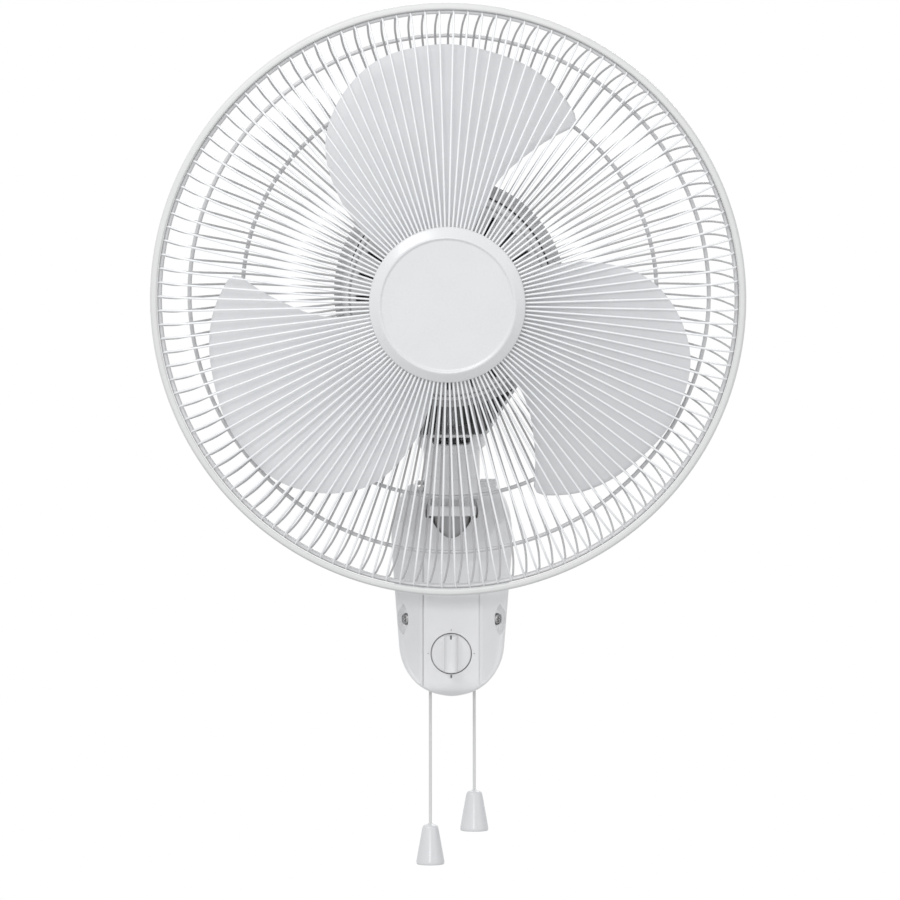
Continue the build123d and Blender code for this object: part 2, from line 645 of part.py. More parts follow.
# ---- speed knob ----
with BuildPart() as speed_knob:
    with BuildSketch(Plane.XZ.offset(-KNOB_FLOOR_Y + KNOB_GAP)):
        with Locations((0, KNOB_Z)):
            RegularPolygon(KNOB_R, KNOB_SIDES)
    extrude(amount=KNOB_POCKET_DEPTH - KNOB_GAP + KNOB_STAND)
    disc_front = BASE_DEPTH + KNOB_STAND
    with BuildSketch(Plane.XZ.offset(disc_front)):
        with Locations((0, KNOB_Z)):
            RegularPolygon(KNOB_R, KNOB_SIDES)
            Rectangle(GRIP_WIDTH, 2 * KNOB_R, mode=Mode.INTERSECT)
    extrude(amount=GRIP_HEIGHT)
    chamfer(speed_knob.faces().sort_by(Axis.Y)[0].edges().sort_by(SortBy.LENGTH)[-2:], GRIP_EDGE)
save(speed_knob.part, "speed_knob")

with BuildPart() as switch_shaft:
    with BuildSketch(Plane.XZ.offset(-SWITCH_FRONT_Y - SWITCH_DEPTH + 2)):
        with Locations((0, KNOB_Z)):
            Circle(SWITCH_SHAFT_R)
    extrude(amount=SWITCH_DEPTH - 2 + KNOB_FLOOR_THICK + KNOB_GAP)
save(switch_shaft.part, "switch_shaft")


# ---- pull cords ----
def pull_handle(x, top_z):
    """A tapered bell on the end of a pull cord."""
    bottom = Plane(origin=(x, CORD_Y, top_z - PULL_HEIGHT))
    with BuildPart() as handle:
        add(prism(bottom, PULL_BOTTOM_R, PULL_SIDES, PULL_HEIGHT, taper=PULL_TAPER))
        chamfer(handle.faces().sort_by(Axis.Z)[-1].edges(), PULL_EDGE)
    return handle.part


def pull_cord(x, top_z):
    with BuildPart() as cord:
        with BuildSketch(Plane.XY.offset(top_z)):
            with Locations((x, CORD_Y)):
                RegularPolygon(CORD_R, SMALL_SIDES)
        extrude(amount=PULL_SWITCH_BOTTOM_Z + CORD_IN_SWITCH - top_z)
    return cord.part


left_pull_handle = pull_handle(-CORD_X, LEFT_PULL_TOP_Z)
right_pull_handle = pull_handle(CORD_X, RIGHT_PULL_TOP_Z)
left_pull_cord = pull_cord(-CORD_X, LEFT_PULL_TOP_Z)
right_pull_cord = pull_cord(CORD_X, RIGHT_PULL_TOP_Z)
save(left_pull_handle, "left_pull_handle")
save(right_pull_handle, "right_pull_handle")
save(left_pull_cord, "left_pull_cord")
save(right_pull_cord, "right_pull_cord")

# ---- neck column, tilting on the post ----
with BuildPart() as cup:
    add(prism(NECK.offset(COLUMN_TOP), CUP_R, CUP_SIDES, CUP_TOP - COLUMN_TOP))
    chamfer(cup.faces().sort_by(NECK_AXIS)[0].edges(), CUP_EDGE)

with BuildPart() as neck_column:
    with BuildSketch(NECK.offset(-FORK_R)):
        RegularPolygon(COLUMN_R, CUP_SIDES)
    extrude(amount=COLUMN_TOP + FORK_R)
    with BuildSketch(NECK_SIDE):
        RegularPolygon(FORK_R, ROUND_SIDES)
        with Locations((0, COLUMN_BOTTOM + CUP_TOP)):
            Rectangle(2 * CUP_R, 2 * CUP_TOP)
    extrude(amount=COLUMN_R, both=True, mode=Mode.INTERSECT)
    add(cup.part)
    with BuildSketch(NECK.offset(-FORK_R)):
        Rectangle(2 * (KNUCKLE_HALF_WIDTH + FORK_GAP), 2 * COLUMN_R)
    extrude(amount=FORK_R + COLUMN_BOTTOM + FORK_GAP, mode=Mode.SUBTRACT)
    with BuildSketch(NECK.offset(CUP_FLOOR)):
        RegularPolygon(CUP_BORE_R, NECK_SIDES)
    extrude(amount=CUP_TOP, mode=Mode.SUBTRACT)
    with BuildSketch(NECK.offset(SPINDLE_BOTTOM - 1)):
        Circle(SPINDLE_R + RUNNING_GAP)
    extrude(amount=CUP_TOP, mode=Mode.SUBTRACT)
    with BuildSketch(NECK.offset(WINDOW_SILL)):
        with Locations((0, -CUP_R)):
            Rectangle(WINDOW_WIDTH, 2 * CUP_R)
    extrude(amount=CUP_TOP, mode=Mode.SUBTRACT)
    with BuildSketch(PIN):
        Circle(TILT_PIN_R + RUNNING_GAP)
    extrude(amount=COLUMN_R + 1, both=True, mode=Mode.SUBTRACT)
save(neck_column.part, "neck_column")

with BuildPart() as tilt_pin:
    with BuildSketch(PIN.offset(-COLUMN_R - RUNNING_GAP)):
        Circle(TILT_PIN_R)
    extrude(amount=COLUMN_R + PIN_END_X)
    with BuildSketch(PIN.offset(-COLUMN_R - RUNNING_GAP)):
        RegularPolygon(PIN_HEAD_R, SMALL_SIDES)
    extrude(amount=-PIN_HEAD_LENGTH)
save(tilt_pin.part, "tilt_pin")

with BuildPart() as thumb_screw:
    add(prism(PIN.offset(COLUMN_R + 2 * RUNNING_GAP), THUMB_SCREW_R, THUMB_SIDES, THUMB_SCREW_LENGTH))
    with BuildSketch(PIN.offset(COLUMN_R)):
        Circle(TILT_PIN_R + RUNNING_GAP)
    extrude(amount=PIN_END_X - COLUMN_R + 0.5, mode=Mode.SUBTRACT)
save(thumb_screw.part, "thumb_screw")

with BuildPart() as thrust_washer:
    with BuildSketch(NECK.offset(CUP_FLOOR + RUNNING_GAP)):
        RegularPolygon(WASHER_R, NECK_SIDES)
        RegularPolygon(SPINDLE_R + WASHER_GAP, NECK_SIDES, mode=Mode.SUBTRACT)
    extrude(amount=WASHER_THICK)
save(thrust_washer.part, "thrust_washer")

# ---- motor ----
SPINDLE_TOP = AXIS_ABOVE_PIVOT + GEARBOX_BOTTOM + 10
with BuildPart() as swing_spindle:
    with BuildSketch(NECK.offset(SPINDLE_BOTTOM)):
        Circle(SPINDLE_R)
    extrude(amount=SPINDLE_TOP - SPINDLE_BOTTOM)
    with BuildSketch(NECK.offset(CUP_FLOOR + WASHER_THICK + 2 * RUNNING_GAP)):
        RegularPolygon(SPINDLE_FLANGE_R, SMALL_SIDES)
    extrude(amount=WASHER_THICK)
save(swing_spindle.part, "swing_spindle")

GEARBOX_FRONT = SHIELD_BACK - RUNNING_GAP
with BuildPart() as gearbox:
    with BuildSketch(HEAD.offset(GEARBOX_FRONT - GEARBOX_DEPTH)):
        with Locations((0, (GEARBOX_TOP + GEARBOX_BOTTOM) / 2)):
            Rectangle(GEARBOX_WIDTH, GEARBOX_TOP - GEARBOX_BOTTOM)
    extrude(amount=GEARBOX_DEPTH)
    with BuildSketch(NECK.offset(BOSS_BOTTOM)):
        RegularPolygon(BOSS_R, NECK_SIDES)
    extrude(amount=AXIS_ABOVE_PIVOT + GEARBOX_BOTTOM + 6 - BOSS_BOTTOM)
    with BuildSketch(NECK.offset(BOSS_BOTTOM)):
        Circle(SPINDLE_R)
    extrude(amount=SPINDLE_TOP - BOSS_BOTTOM, mode=Mode.SUBTRACT)
    with BuildSketch(HEAD.offset(SHAFT_BACK - 1)):
        RegularPolygon(SHAFT_R + 1, SMALL_SIDES)
    extrude(amount=GEARBOX_DEPTH, mode=Mode.SUBTRACT)
save(gearbox.part, "gearbox")

swing_motor_seat = Plane(
    origin=HEAD.from_local_coords((0, -SWING_MOTOR_DROP, GEARBOX_FRONT + RUNNING_GAP)),
    x_dir=(1, 0, 0),
    z_dir=FORWARD,
)
save(prism(swing_motor_seat, SWING_MOTOR_R, ROUND_SIDES, SWING_MOTOR_LENGTH), "swing_motor")

CASE_SPLIT = BACK_WIRE_Z - WIRE_R - WELD_GAP - BACK_PLATE_THICK
DRUM_INNER_R = DRUM_R - CASE_WALL
FACE_BACK = DRUM_FRONT - CASE_WALL
with BuildPart() as motor_front_case:
    add(prism(HEAD.offset(DRUM_FRONT), DRUM_R, DRUM_SIDES, CASE_SPLIT - DRUM_FRONT))
    chamfer(motor_front_case.faces().sort_by(HEAD_AXIS)[-1].edges(), DRUM_EDGE)
    add(prism(HEAD.offset(FACE_BACK), DRUM_INNER_R, DRUM_SIDES, CASE_SPLIT - FACE_BACK), mode=Mode.SUBTRACT)
    add(prism(HEAD.offset(DRUM_FRONT), BEARING_R + 1, SHIELD_SIDES, -CASE_WALL), mode=Mode.SUBTRACT)
    with BuildSketch(HEAD.offset(DRUM_FRONT)):
        with PolarLocations((VENT_INNER_R + VENT_OUTER_R) / 2, VENT_COUNT):
            Rectangle(VENT_OUTER_R - VENT_INNER_R, VENT_WIDTH)
    extrude(amount=-CASE_WALL, mode=Mode.SUBTRACT)
save(motor_front_case.part, "motor_front_case")


def tail_outline(behind, inset):
    """The motor case from behind: a round form drawn out into a tail over the neck."""
    with BuildSketch(HEAD.offset(CASE_SPLIT - WELD_GAP - behind)) as outline:
        RegularPolygon(REAR_CASE_R, REAR_CASE_SIDES)
        with Locations((0, TAIL_BOTTOM + TAIL_HEIGHT / 2)):
            Rectangle(TAIL_WIDTH, TAIL_HEIGHT)
        make_hull()
        if inset:
            offset(amount=-inset)
    return outline.sketch


def closing_case(sections, inset):
    """The case's form through its sections, or the room inside it."""
    with BuildPart() as form:
        for behind, section_inset in sections:
            add(tail_outline(behind, section_inset + inset))
        loft(ruled=True)
    return form.part


with BuildPart() as motor_rear_case:
    add(closing_case(REAR_CASE_SECTIONS, 0))
    add(closing_case(REAR_ROOM_SECTIONS, CASE_WALL), mode=Mode.SUBTRACT)
    with BuildSketch(NECK.offset(BOSS_BOTTOM)):
        RegularPolygon(BOSS_R + BOSS_HOLE_GAP, NECK_SIDES)
    extrude(amount=AXIS_ABOVE_PIVOT + GEARBOX_BOTTOM - BOSS_BOTTOM, mode=Mode.SUBTRACT)
    with BuildSketch(HEAD.offset(CASE_SPLIT - WELD_GAP - REAR_CASE_SECTIONS[-1][0])):
        with PolarLocations(REAR_VENT_R, REAR_VENT_COUNT):
            Rectangle(14, 3)
    extrude(amount=CASE_WALL, mode=Mode.SUBTRACT)
save(motor_rear_case.part, "motor_rear_case")


def shield(outer_z, inner_z, wall):
    """Half of the motor's metal housing: a cup whose end wall carries a bearing."""
    with BuildPart() as cup:
        add(ring_prism(BEARING_R + RUNNING_GAP, SHIELD_R, outer_z, inner_z, SHIELD_SIDES))
        add(ring_prism(0, SHIELD_R - SHIELD_WALL, outer_z + wall, inner_z, SHIELD_SIDES), mode=Mode.SUBTRACT)
    return cup.part


SHIELD_FRONT = FACE_BACK - RUNNING_GAP
save(shield(SHIELD_FRONT, SHIELD_SPLIT, -SHIELD_WALL), "front_shield")
save(shield(SHIELD_BACK, SHIELD_SPLIT - RUNNING_GAP, SHIELD_WALL), "rear_shield")

SHIELD_ROOM_R = SHIELD_R - SHIELD_WALL - RUNNING_GAP
winding_inner_r = STATOR_BORE_R + 2
save(ring_prism(STATOR_BORE_R, SHIELD_ROOM_R, STATOR_BACK, STATOR_FRONT, SHIELD_SIDES), "stator")
with BuildPart() as windings:
    for face, length in (
        (STATOR_FRONT + RUNNING_GAP, WINDING_LENGTH),
        (STATOR_BACK - RUNNING_GAP, -WINDING_LENGTH),
    ):
        add(ring_prism(winding_inner_r, WINDING_R, face, face + length, SHIELD_SIDES))
save(windings.part, "windings")


def bearing(face, length):
    with BuildPart() as ring:
        add(ring_prism(0, BEARING_R, face, face + length, SHIELD_SIDES))
        with BuildSketch(HEAD.offset(face)):
            Circle(SHAFT_R + RUNNING_GAP)
        extrude(amount=length, mode=Mode.SUBTRACT)
    return ring.part


save(bearing(SHIELD_FRONT, -BEARING_LENGTH), "front_bearing")
save(bearing(SHIELD_BACK, BEARING_LENGTH), "rear_bearing")

# ---- rotor ----
SHAFT_BORE_R = SHAFT_R + RUNNING_GAP
ROTOR_R = STATOR_BORE_R - ROTOR_AIR_GAP
save(tube(0, SHAFT_R, SHAFT_BACK, SPINNER_FRONT - 4), "rotor_shaft")
core_bore_r = SHAFT_R + 2 * RUNNING_GAP
save(ring_prism(core_bore_r, ROTOR_R, STATOR_BACK - 2, STATOR_FRONT + 2, SHIELD_SIDES), "rotor_core")


BLADE_TIP_R = OUTER_RING_R - BLADE_TIP_GAP


def blade_slab():
    """A dished sheet, low and steep on the leading side and flatter towards the trailing side."""
    under = [(x, z - BLADE_THICK) for x, z in reversed(BLADE_CAMBER)]
    with BuildPart() as slab:
        with BuildSketch(Plane(origin=HUB, x_dir=(1, 0, 0), z_dir=UPWARD * -1)):
            Polygon(*BLADE_CAMBER, *under, align=None)
        extrude(amount=-BLADE_TIP_R)
    return slab.part


with BuildPart() as one_blade:
    add(blade_slab())
    with BuildSketch(HEAD.offset(BLADE_CAMBER[-1][1] - 5)):
        Polygon(*BLADE_BACK_EDGE, *BLADE_FRONT_EDGE, align=None)
        Circle(BLADE_TIP_R, mode=Mode.INTERSECT)
    extrude(amount=BLADE_CAMBER[0][1] - BLADE_CAMBER[-1][1] + 10, mode=Mode.INTERSECT)

with BuildPart() as blade_set:
    add(prism(HEAD.offset(HUB_BACK), HUB_R, DRUM_SIDES, HUB_FRONT - HUB_BACK))
    chamfer(blade_set.faces().sort_by(HEAD_AXIS)[-1].edges(), HUB_EDGE)
    for i in range(BLADE_COUNT):
        add(one_blade.part.rotate(HEAD_AXIS, i * 360 / BLADE_COUNT))
    with BuildSketch(HEAD.offset(HUB_BACK)):
        Circle(SHAFT_BORE_R)
    extrude(amount=HUB_FRONT - HUB_BACK, mode=Mode.SUBTRACT)
save(blade_set.part, "blade_set")

with BuildPart() as spinner_nut:
    add(prism(HEAD.offset(HUB_FRONT + RUNNING_GAP), SPINNER_R, SMALL_SIDES, SPINNER_FRONT - HUB_FRONT))
    with BuildSketch(HEAD.offset(HUB_FRONT)):
        Circle(SHAFT_BORE_R)
    extrude(amount=SPINNER_FRONT - HUB_FRONT - 4 + 2 * RUNNING_GAP, mode=Mode.SUBTRACT)
save(spinner_nut.part, "spinner_nut")


# ---- guard ----
def bent_wire(points, seat):
    """A three-sided wire through points (across, up, ahead), whose edge looks ahead or, at -1, back."""
    with BuildPart() as wire:
        with BuildLine() as path:
            Polyline(*points)
        with BuildSketch(Plane(origin=path.line @ 0, x_dir=(0, 1, 0), z_dir=path.line % 0)):
            RegularPolygon(WIRE_R, 3, rotation=seat * 90)
        sweep(transition=Transition.RIGHT)
    return wire.part


def at(radius, degrees_round, z):
    return (radius * cos(radians(degrees_round)), radius * sin(radians(degrees_round)), z)


def ring_depth(z):
    return (z - RING_SIZE / 2, z + RING_SIZE / 2)


def support_ring(radius, z):
    return ring_prism(radius - RING_SIZE / 2, radius + RING_SIZE / 2, *ring_depth(z), SUPPORT_SIDES)


front_wire = bent_wire(
    [
        at(FRONT_WIRE_START_R, 0, CAP_WIRE_Z),
        at(FRONT_BEND_R, 0, FRONT_BEND_Z),
        at(OUTER_RING_R, 0, FRONT_WIRE_END_Z),
    ],
    -1,
)
with BuildPart(HEAD) as front_guard_wires:
    with PolarLocations(0, WIRE_COUNT):
        add(front_wire)
save(front_guard_wires.part, "front_guard_wires")

rear_wire = bent_wire(
    [
        at(OUTER_RING_R, 0, REAR_WIRE_END_Z),
        at(RING_1_R, WIRE_PITCH / 2, RING_1_WIRE_Z),
        at(RING_2_R, WIRE_PITCH / 2, RING_2_WIRE_Z),
        at(BACK_WIRE_END_R, WIRE_PITCH / 2, BACK_WIRE_Z),
    ],
    1,
)
with BuildPart(HEAD) as rear_guard_wires:
    with PolarLocations(0, WIRE_COUNT):
        add(rear_wire)
save(rear_guard_wires.part, "rear_guard_wires")

ring_outer_r = RIM_R - BAND_WALL - OUTER_RING_GAP
ring_inner_r = ring_outer_r - OUTER_RING_WIDTH
save(ring_prism(ring_inner_r, ring_outer_r, *ring_depth(FRONT_RING_Z), RING_SIDES), "front_guard_ring")
save(ring_prism(ring_inner_r, ring_outer_r, *ring_depth(REAR_RING_Z), RING_SIDES), "rear_guard_ring")
save(support_ring(RING_1_R, RING_1_Z), "rear_outer_support_ring")
save(support_ring(RING_2_R, RING_2_Z), "rear_inner_support_ring")
BACK_PLATE_FRONT = BACK_WIRE_Z - WIRE_R - WELD_GAP
back_plate_back = BACK_PLATE_FRONT - BACK_PLATE_THICK
back_plate_r = BACK_PLATE_INNER_R + BACK_PLATE_WIDTH
save(
    ring_prism(BACK_PLATE_INNER_R, back_plate_r, back_plate_back, BACK_PLATE_FRONT, DRUM_SIDES),
    "rear_guard_plate",
)

with BuildPart() as rim_band:
    add(ring_prism(RIM_R - BAND_WALL, RIM_R, RIM_BACK, RIM_FRONT, RING_SIDES))
    add(ring_prism(RIM_INNER_R, RIM_R, RIM_FRONT - BAND_WALL, RIM_FRONT, RING_SIDES))
save(rim_band.part, "rim_band")

CAP_PLATE_FRONT = CAP_WIRE_Z - WIRE_R - CAP_PLATE_GAP
CAP_BACK = CAP_WIRE_Z + WIRE_R / 2 + WELD_GAP
cap_plate_r = CAP_R - CAP_PLATE_INSET
save(
    ring_prism(0, cap_plate_r, CAP_PLATE_FRONT - CAP_PLATE_THICK, CAP_PLATE_FRONT, SUPPORT_SIDES),
    "cap_plate",
)
cap_inner_r = CAP_R - CAP_BEVEL_WIDTH - 1
with BuildPart() as front_cap:
    add(prism(HEAD.offset(CAP_BACK), CAP_R, CAP_SIDES, CAP_HEIGHT))
    cap_front = front_cap.faces().sort_by(HEAD_AXIS)[-1]
    chamfer(cap_front.edges(), CAP_BEVEL_WIDTH, CAP_HEIGHT - 1, reference=cap_front)
    add(prism(HEAD.offset(CAP_BACK + CAP_HEIGHT), cap_inner_r, CAP_SIDES, -CAP_STEP), mode=Mode.SUBTRACT)
save(front_cap.part, "front_cap")
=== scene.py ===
import json
from math import cos, hypot, pi, radians, sin, sqrt

import bmesh
import bpy
from mathutils import Matrix, Vector


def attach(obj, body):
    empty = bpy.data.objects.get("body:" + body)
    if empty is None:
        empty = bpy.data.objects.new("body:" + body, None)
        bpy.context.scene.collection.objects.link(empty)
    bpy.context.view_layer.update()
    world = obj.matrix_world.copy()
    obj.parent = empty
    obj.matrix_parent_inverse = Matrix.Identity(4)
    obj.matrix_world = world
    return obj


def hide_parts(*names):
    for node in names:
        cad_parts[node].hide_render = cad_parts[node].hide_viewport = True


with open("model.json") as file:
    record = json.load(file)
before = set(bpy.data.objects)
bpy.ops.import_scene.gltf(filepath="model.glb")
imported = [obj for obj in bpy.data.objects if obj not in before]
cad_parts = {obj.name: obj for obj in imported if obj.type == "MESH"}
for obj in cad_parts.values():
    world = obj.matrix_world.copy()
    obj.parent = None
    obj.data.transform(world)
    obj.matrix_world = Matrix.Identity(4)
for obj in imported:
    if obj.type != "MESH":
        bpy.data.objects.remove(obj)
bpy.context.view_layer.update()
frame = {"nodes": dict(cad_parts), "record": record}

# Lengths are written in millimetres, as in the solids, and MM makes them metres.
MM = 0.001

# ---- frames: the head leans forward by TILT, and blows along FORWARD ----
TILT = radians(9)
ACROSS = Vector((1, 0, 0))
TO_WALL, FROM_WALL = Vector((0, 1, 0)), Vector((0, -1, 0))
VERTICAL = Vector((0, 0, 1))
FORWARD = Vector((0, -cos(TILT), -sin(TILT)))
UPWARD = Vector((0, -sin(TILT), cos(TILT)))
PIVOT_Y, PIVOT_Z = -66, 82.7
PIVOT = Vector((0, PIVOT_Y, PIVOT_Z))
HUB_ABOVE_PIVOT, HUB_AHEAD_OF_PIVOT = 162.6, 130
HUB = PIVOT + UPWARD * HUB_ABOVE_PIVOT + FORWARD * HUB_AHEAD_OF_PIVOT
KNOB_Z = -50.1


def placed(origin, x, y, z):
    """The matrix of a frame from its origin and axes, in millimetres."""
    m = Matrix.Identity(4)
    for i in range(3):
        m[i][0], m[i][1], m[i][2], m[i][3] = x[i], y[i], z[i], origin[i]
    return m


def upright(x, y):
    """A frame whose z axis is a vertical line."""
    return placed(Vector((x, y, 0)), ACROSS, TO_WALL, VERTICAL)


def facing_out(x, z):
    """A frame whose z axis points from the wall to the viewer."""
    return placed(Vector((x, 0, z)), ACROSS, VERTICAL, FROM_WALL)


WORLD = Matrix.Identity(4)
HEAD = placed(HUB, ACROSS, UPWARD, FORWARD)
NECK = placed(PIVOT, ACROSS, -FORWARD, UPWARD)
PIN = placed(PIVOT, UPWARD, -FORWARD, ACROSS)
POST = upright(0, PIVOT_Y)
KNOB = facing_out(0, KNOB_Z)
SIDES = ((-1, "left"), (1, "right"))

# ---- camera ----
CAMERA_PLACE = Vector((54.4, -2819.0, 111.5))
CAMERA_AIM = Vector((1.7, -219.8, 111.5))
LENS, SENSOR = 137.7, 36
VIEW_END = 50
camera_data = bpy.data.cameras.new("camera")
camera_data.lens = LENS
camera_data.sensor_width = SENSOR
camera_data.clip_end = VIEW_END
camera = bpy.data.objects.new("camera", camera_data)
camera.location = CAMERA_PLACE * MM
camera.rotation_mode = "QUATERNION"
camera.rotation_quaternion = (CAMERA_AIM - CAMERA_PLACE).to_track_quat("-Z", "Y")
bpy.context.collection.objects.link(camera)
bpy.context.scene.camera = camera

# ---- materials ----
BUMP_DEPTH = 0.4 * MM
GLOSS_SPREAD = 0.08


def new_material(name):
    """A material with its nodes, links, shader and the piece's own coordinates."""
    material = bpy.data.materials.new(name)
    material.use_nodes = True
    nodes = material.node_tree.nodes
    place = nodes.new("ShaderNodeTexCoord").outputs["Object"]
    return material, nodes, material.node_tree.links, nodes["Principled BSDF"], place


def noise(nodes, links, place, scale, detail):
    """A noise texture laid over the piece."""
    texture = nodes.new("ShaderNodeTexNoise")
    texture.inputs["Scale"].default_value = scale
    texture.inputs["Detail"].default_value = detail
    links.new(place, texture.inputs["Vector"])
    return texture.outputs["Fac"]


def colour_by(nodes, links, shader, amount, low, high, low_at=0.0, high_at=1.0):
    """Runs the base colour between two colours by an amount."""
    tint = nodes.new("ShaderNodeValToRGB")
    for element, place, colour in zip(tint.color_ramp.elements, (low_at, high_at), (low, high)):
        element.position = place
        element.color = (*colour, 1)
    links.new(amount, tint.inputs["Fac"])
    links.new(tint.outputs["Color"], shader.inputs["Base Color"])


def bump_by(nodes, links, shader, height, strength):
    """Raises the surface by a height."""
    bump = nodes.new("ShaderNodeBump")
    bump.inputs["Strength"].default_value = strength
    bump.inputs["Distance"].default_value = BUMP_DEPTH
    links.new(height, bump.inputs["Height"])
    links.new(bump.outputs["Normal"], shader.inputs["Normal"])


def finish_material(name, colour, roughness, metallic=0.0, mottle=0.04, mottle_scale=35.0, grain=0.04,
                    grain_scale=900.0, coat=0.0):
    """A moulded, painted or metal surface: slight changes of colour and gloss, and a fine grain."""
    material, nodes, links, shader, place = new_material(name)
    shader.inputs["Metallic"].default_value = metallic
    shader.inputs["Coat Weight"].default_value = coat
    shader.inputs["Coat Roughness"].default_value = 0.15
    cloud = noise(nodes, links, place, mottle_scale, 4)
    low = [c * (1 - mottle) for c in colour]
    high = [min(1.0, c * (1 + mottle * 0.5)) for c in colour]
    colour_by(nodes, links, shader, cloud, low, high, 0.3, 0.7)
    gloss = nodes.new("ShaderNodeMapRange")
    gloss.inputs["To Min"].default_value = roughness - GLOSS_SPREAD
    gloss.inputs["To Max"].default_value = roughness + GLOSS_SPREAD
    links.new(noise(nodes, links, place, mottle_scale * 3, 6), gloss.inputs["Value"])
    links.new(gloss.outputs["Result"], shader.inputs["Roughness"])
    bump_by(nodes, links, shader, noise(nodes, links, place, grain_scale, 3), grain)
    return material


def braid_material(name, colour):
    """Braided cord: slanting strands, drawn along the cord's height."""
    material, nodes, links, shader, place = new_material(name)
    shader.inputs["Roughness"].default_value = 0.75
    turn = nodes.new("ShaderNodeMapping")
    turn.inputs["Rotation"].default_value = (0.5, 0.6, 0)
    links.new(place, turn.inputs["Vector"])
    strands = nodes.new("ShaderNodeTexWave")
    strands.bands_direction = "Z"
    strands.inputs["Scale"].default_value = 260
    strands.inputs["Distortion"].default_value = 1.5
    links.new(turn.outputs["Vector"], strands.inputs["Vector"])
    colour_by(nodes, links, shader, strands.outputs["Fac"], [c * 0.7 for c in colour], colour)
    bump_by(nodes, links, shader, strands.outputs["Fac"], 0.6)
    return material


# Plastics and the cord.
housing = finish_material("housing_plastic", (0.81, 0.812, 0.815), 0.36, mottle=0.02, coat=0.08)
smooth_white = finish_material("cap_plastic", (0.725, 0.73, 0.738), 0.28, mottle=0.015, coat=0.15)
blade_plastic = finish_material("blade_plastic", (0.7, 0.704, 0.715), 0.42, mottle=0.02)
rim_plastic = finish_material("rim_plastic", (0.71, 0.71, 0.705), 0.4, mottle=0.02)
# Painted shade: a dark grey copy of the white plastic, for the neck tube, which lies in shade under the
# collar.
painted_shade_plastic = finish_material("painted_shade_plastic", (0.4, 0.4, 0.405), 0.4, mottle=0.02)
# Grey plastic for the motor drum, darker than the housing: painted shade, for the shaded front of the motor.
painted_shade_motor_plastic = finish_material("painted_shade_motor_plastic", (0.6, 0.6, 0.6), 0.45, mottle=0.03)
pull_plastic = finish_material("pull_plastic", (0.68, 0.69, 0.7), 0.33, mottle=0.02, coat=0.1)
inner_plastic = finish_material("inner_plastic", (0.08, 0.08, 0.085), 0.5, mottle=0.1)
rubber = finish_material("soft_rubber", (0.05, 0.05, 0.05), 0.75, mottle=0.12, grain=0.2)
cord_weave = braid_material("cord_braid", (0.86, 0.86, 0.85))
# Enamelled wire. The rear wires are darker than the front ones: painted shade, for the shade at the back of
# the guard.
front_enamel = finish_material("front_wire_enamel", (0.86, 0.87, 0.88), 0.25, mottle=0.03, coat=0.3)
painted_shade_rear_enamel = finish_material("rear_wire_painted_shade_enamel", (0.56, 0.56, 0.565), 0.32, mottle=0.06, coat=0.2)
# The rings' grey is painted shade: a darker copy of the front wires' white enamel.
painted_shade_ring_enamel = finish_material("painted_shade_ring_enamel", (0.66, 0.66, 0.665), 0.3, mottle=0.05, coat=0.2)
# Metals.
steel = finish_material("plated_steel", (0.6, 0.6, 0.6), 0.3, metallic=1.0, mottle=0.08, grain=0.08)
# The screws' steel is a darker copy of the plated steel: painted shade, for the shade in the counterbores
# round the heads.
painted_shade_screw_steel = finish_material("painted_shade_screw_steel", (0.42, 0.42, 0.425), 0.3, metallic=1.0, mottle=0.1, grain=0.08)
galvanised = finish_material("galvanised_steel", (0.5, 0.51, 0.52), 0.42, metallic=0.9, mottle=0.22,
                             mottle_scale=120, grain=0.1)
alloy = finish_material("cast_alloy", (0.55, 0.56, 0.57), 0.5, metallic=0.85, mottle=0.1, grain=0.35,
                        grain_scale=500)
dark_metal = finish_material("dark_metal", (0.2, 0.205, 0.21), 0.4, metallic=0.7, mottle=0.08)
copper = finish_material("copper_winding", (0.55, 0.24, 0.11), 0.35, metallic=0.9, mottle=0.25,
                         mottle_scale=300, grain=0.5, grain_scale=260)
# Printed marks.
mark_ink = finish_material("mark_ink", (0.12, 0.12, 0.125), 0.6, mottle=0.1)
faint_ink = finish_material("faint_ink", (0.45, 0.45, 0.46), 0.6, mottle=0.1)

slot_materials = {
    "housing": housing,
    "blade_plastic": blade_plastic,
    "wire_enamel": painted_shade_ring_enamel,
    "rim_plastic": rim_plastic,
    "plated_steel": steel,
    "galvanised_steel": galvanised,
    "cast_alloy": alloy,
    "copper_winding": copper,
    "grey_metal": dark_metal,
    "cord": cord_weave,
    "inner_plastic": inner_plastic,
    "soft_rubber": rubber,
}
node_slots = {part["node"]: part["material_slot"] for part in frame["record"]["subparts"]}
for node_name, node_object in frame["nodes"].items():
    node_object.data.materials.clear()
    node_object.data.materials.append(slot_materials[node_slots[node_name]])

# ---- forms ----
SHARP_ANGLE = 32.0
TINY = 1e-6


def shade(mesh, sharp=SHARP_ANGLE):
    """Shades a mesh smooth, with edges sharper than an angle kept sharp."""
    mesh.polygons.foreach_set("use_smooth", [True] * len(mesh.polygons))
    mesh.set_sharp_from_angle(angle=radians(sharp))


def mesh_piece(name, points, faces, matrix, body, material, slot, replaced=(), sharp=SHARP_ANGLE):
    """A mesh piece from points in millimetres in a frame, riding on a body."""
    mesh = bpy.data.meshes.new(name)
    mesh.from_pydata([(matrix @ Vector(p)) * MM for p in points], [], faces)
    mesh.validate()
    work = bmesh.new()
    work.from_mesh(mesh)
    bmesh.ops.remove_doubles(work, verts=work.verts, dist=1e-7)
    bmesh.ops.recalc_face_normals(work, faces=work.faces)
    work.to_mesh(mesh)
    work.free()
    shade(mesh, sharp)
    mesh.materials.append(material)
    piece = bpy.data.objects.new(name, mesh)
    bpy.context.collection.objects.link(piece)
    if body:
        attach(piece, body)
        if replaced:
            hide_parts(*replaced)
    return piece


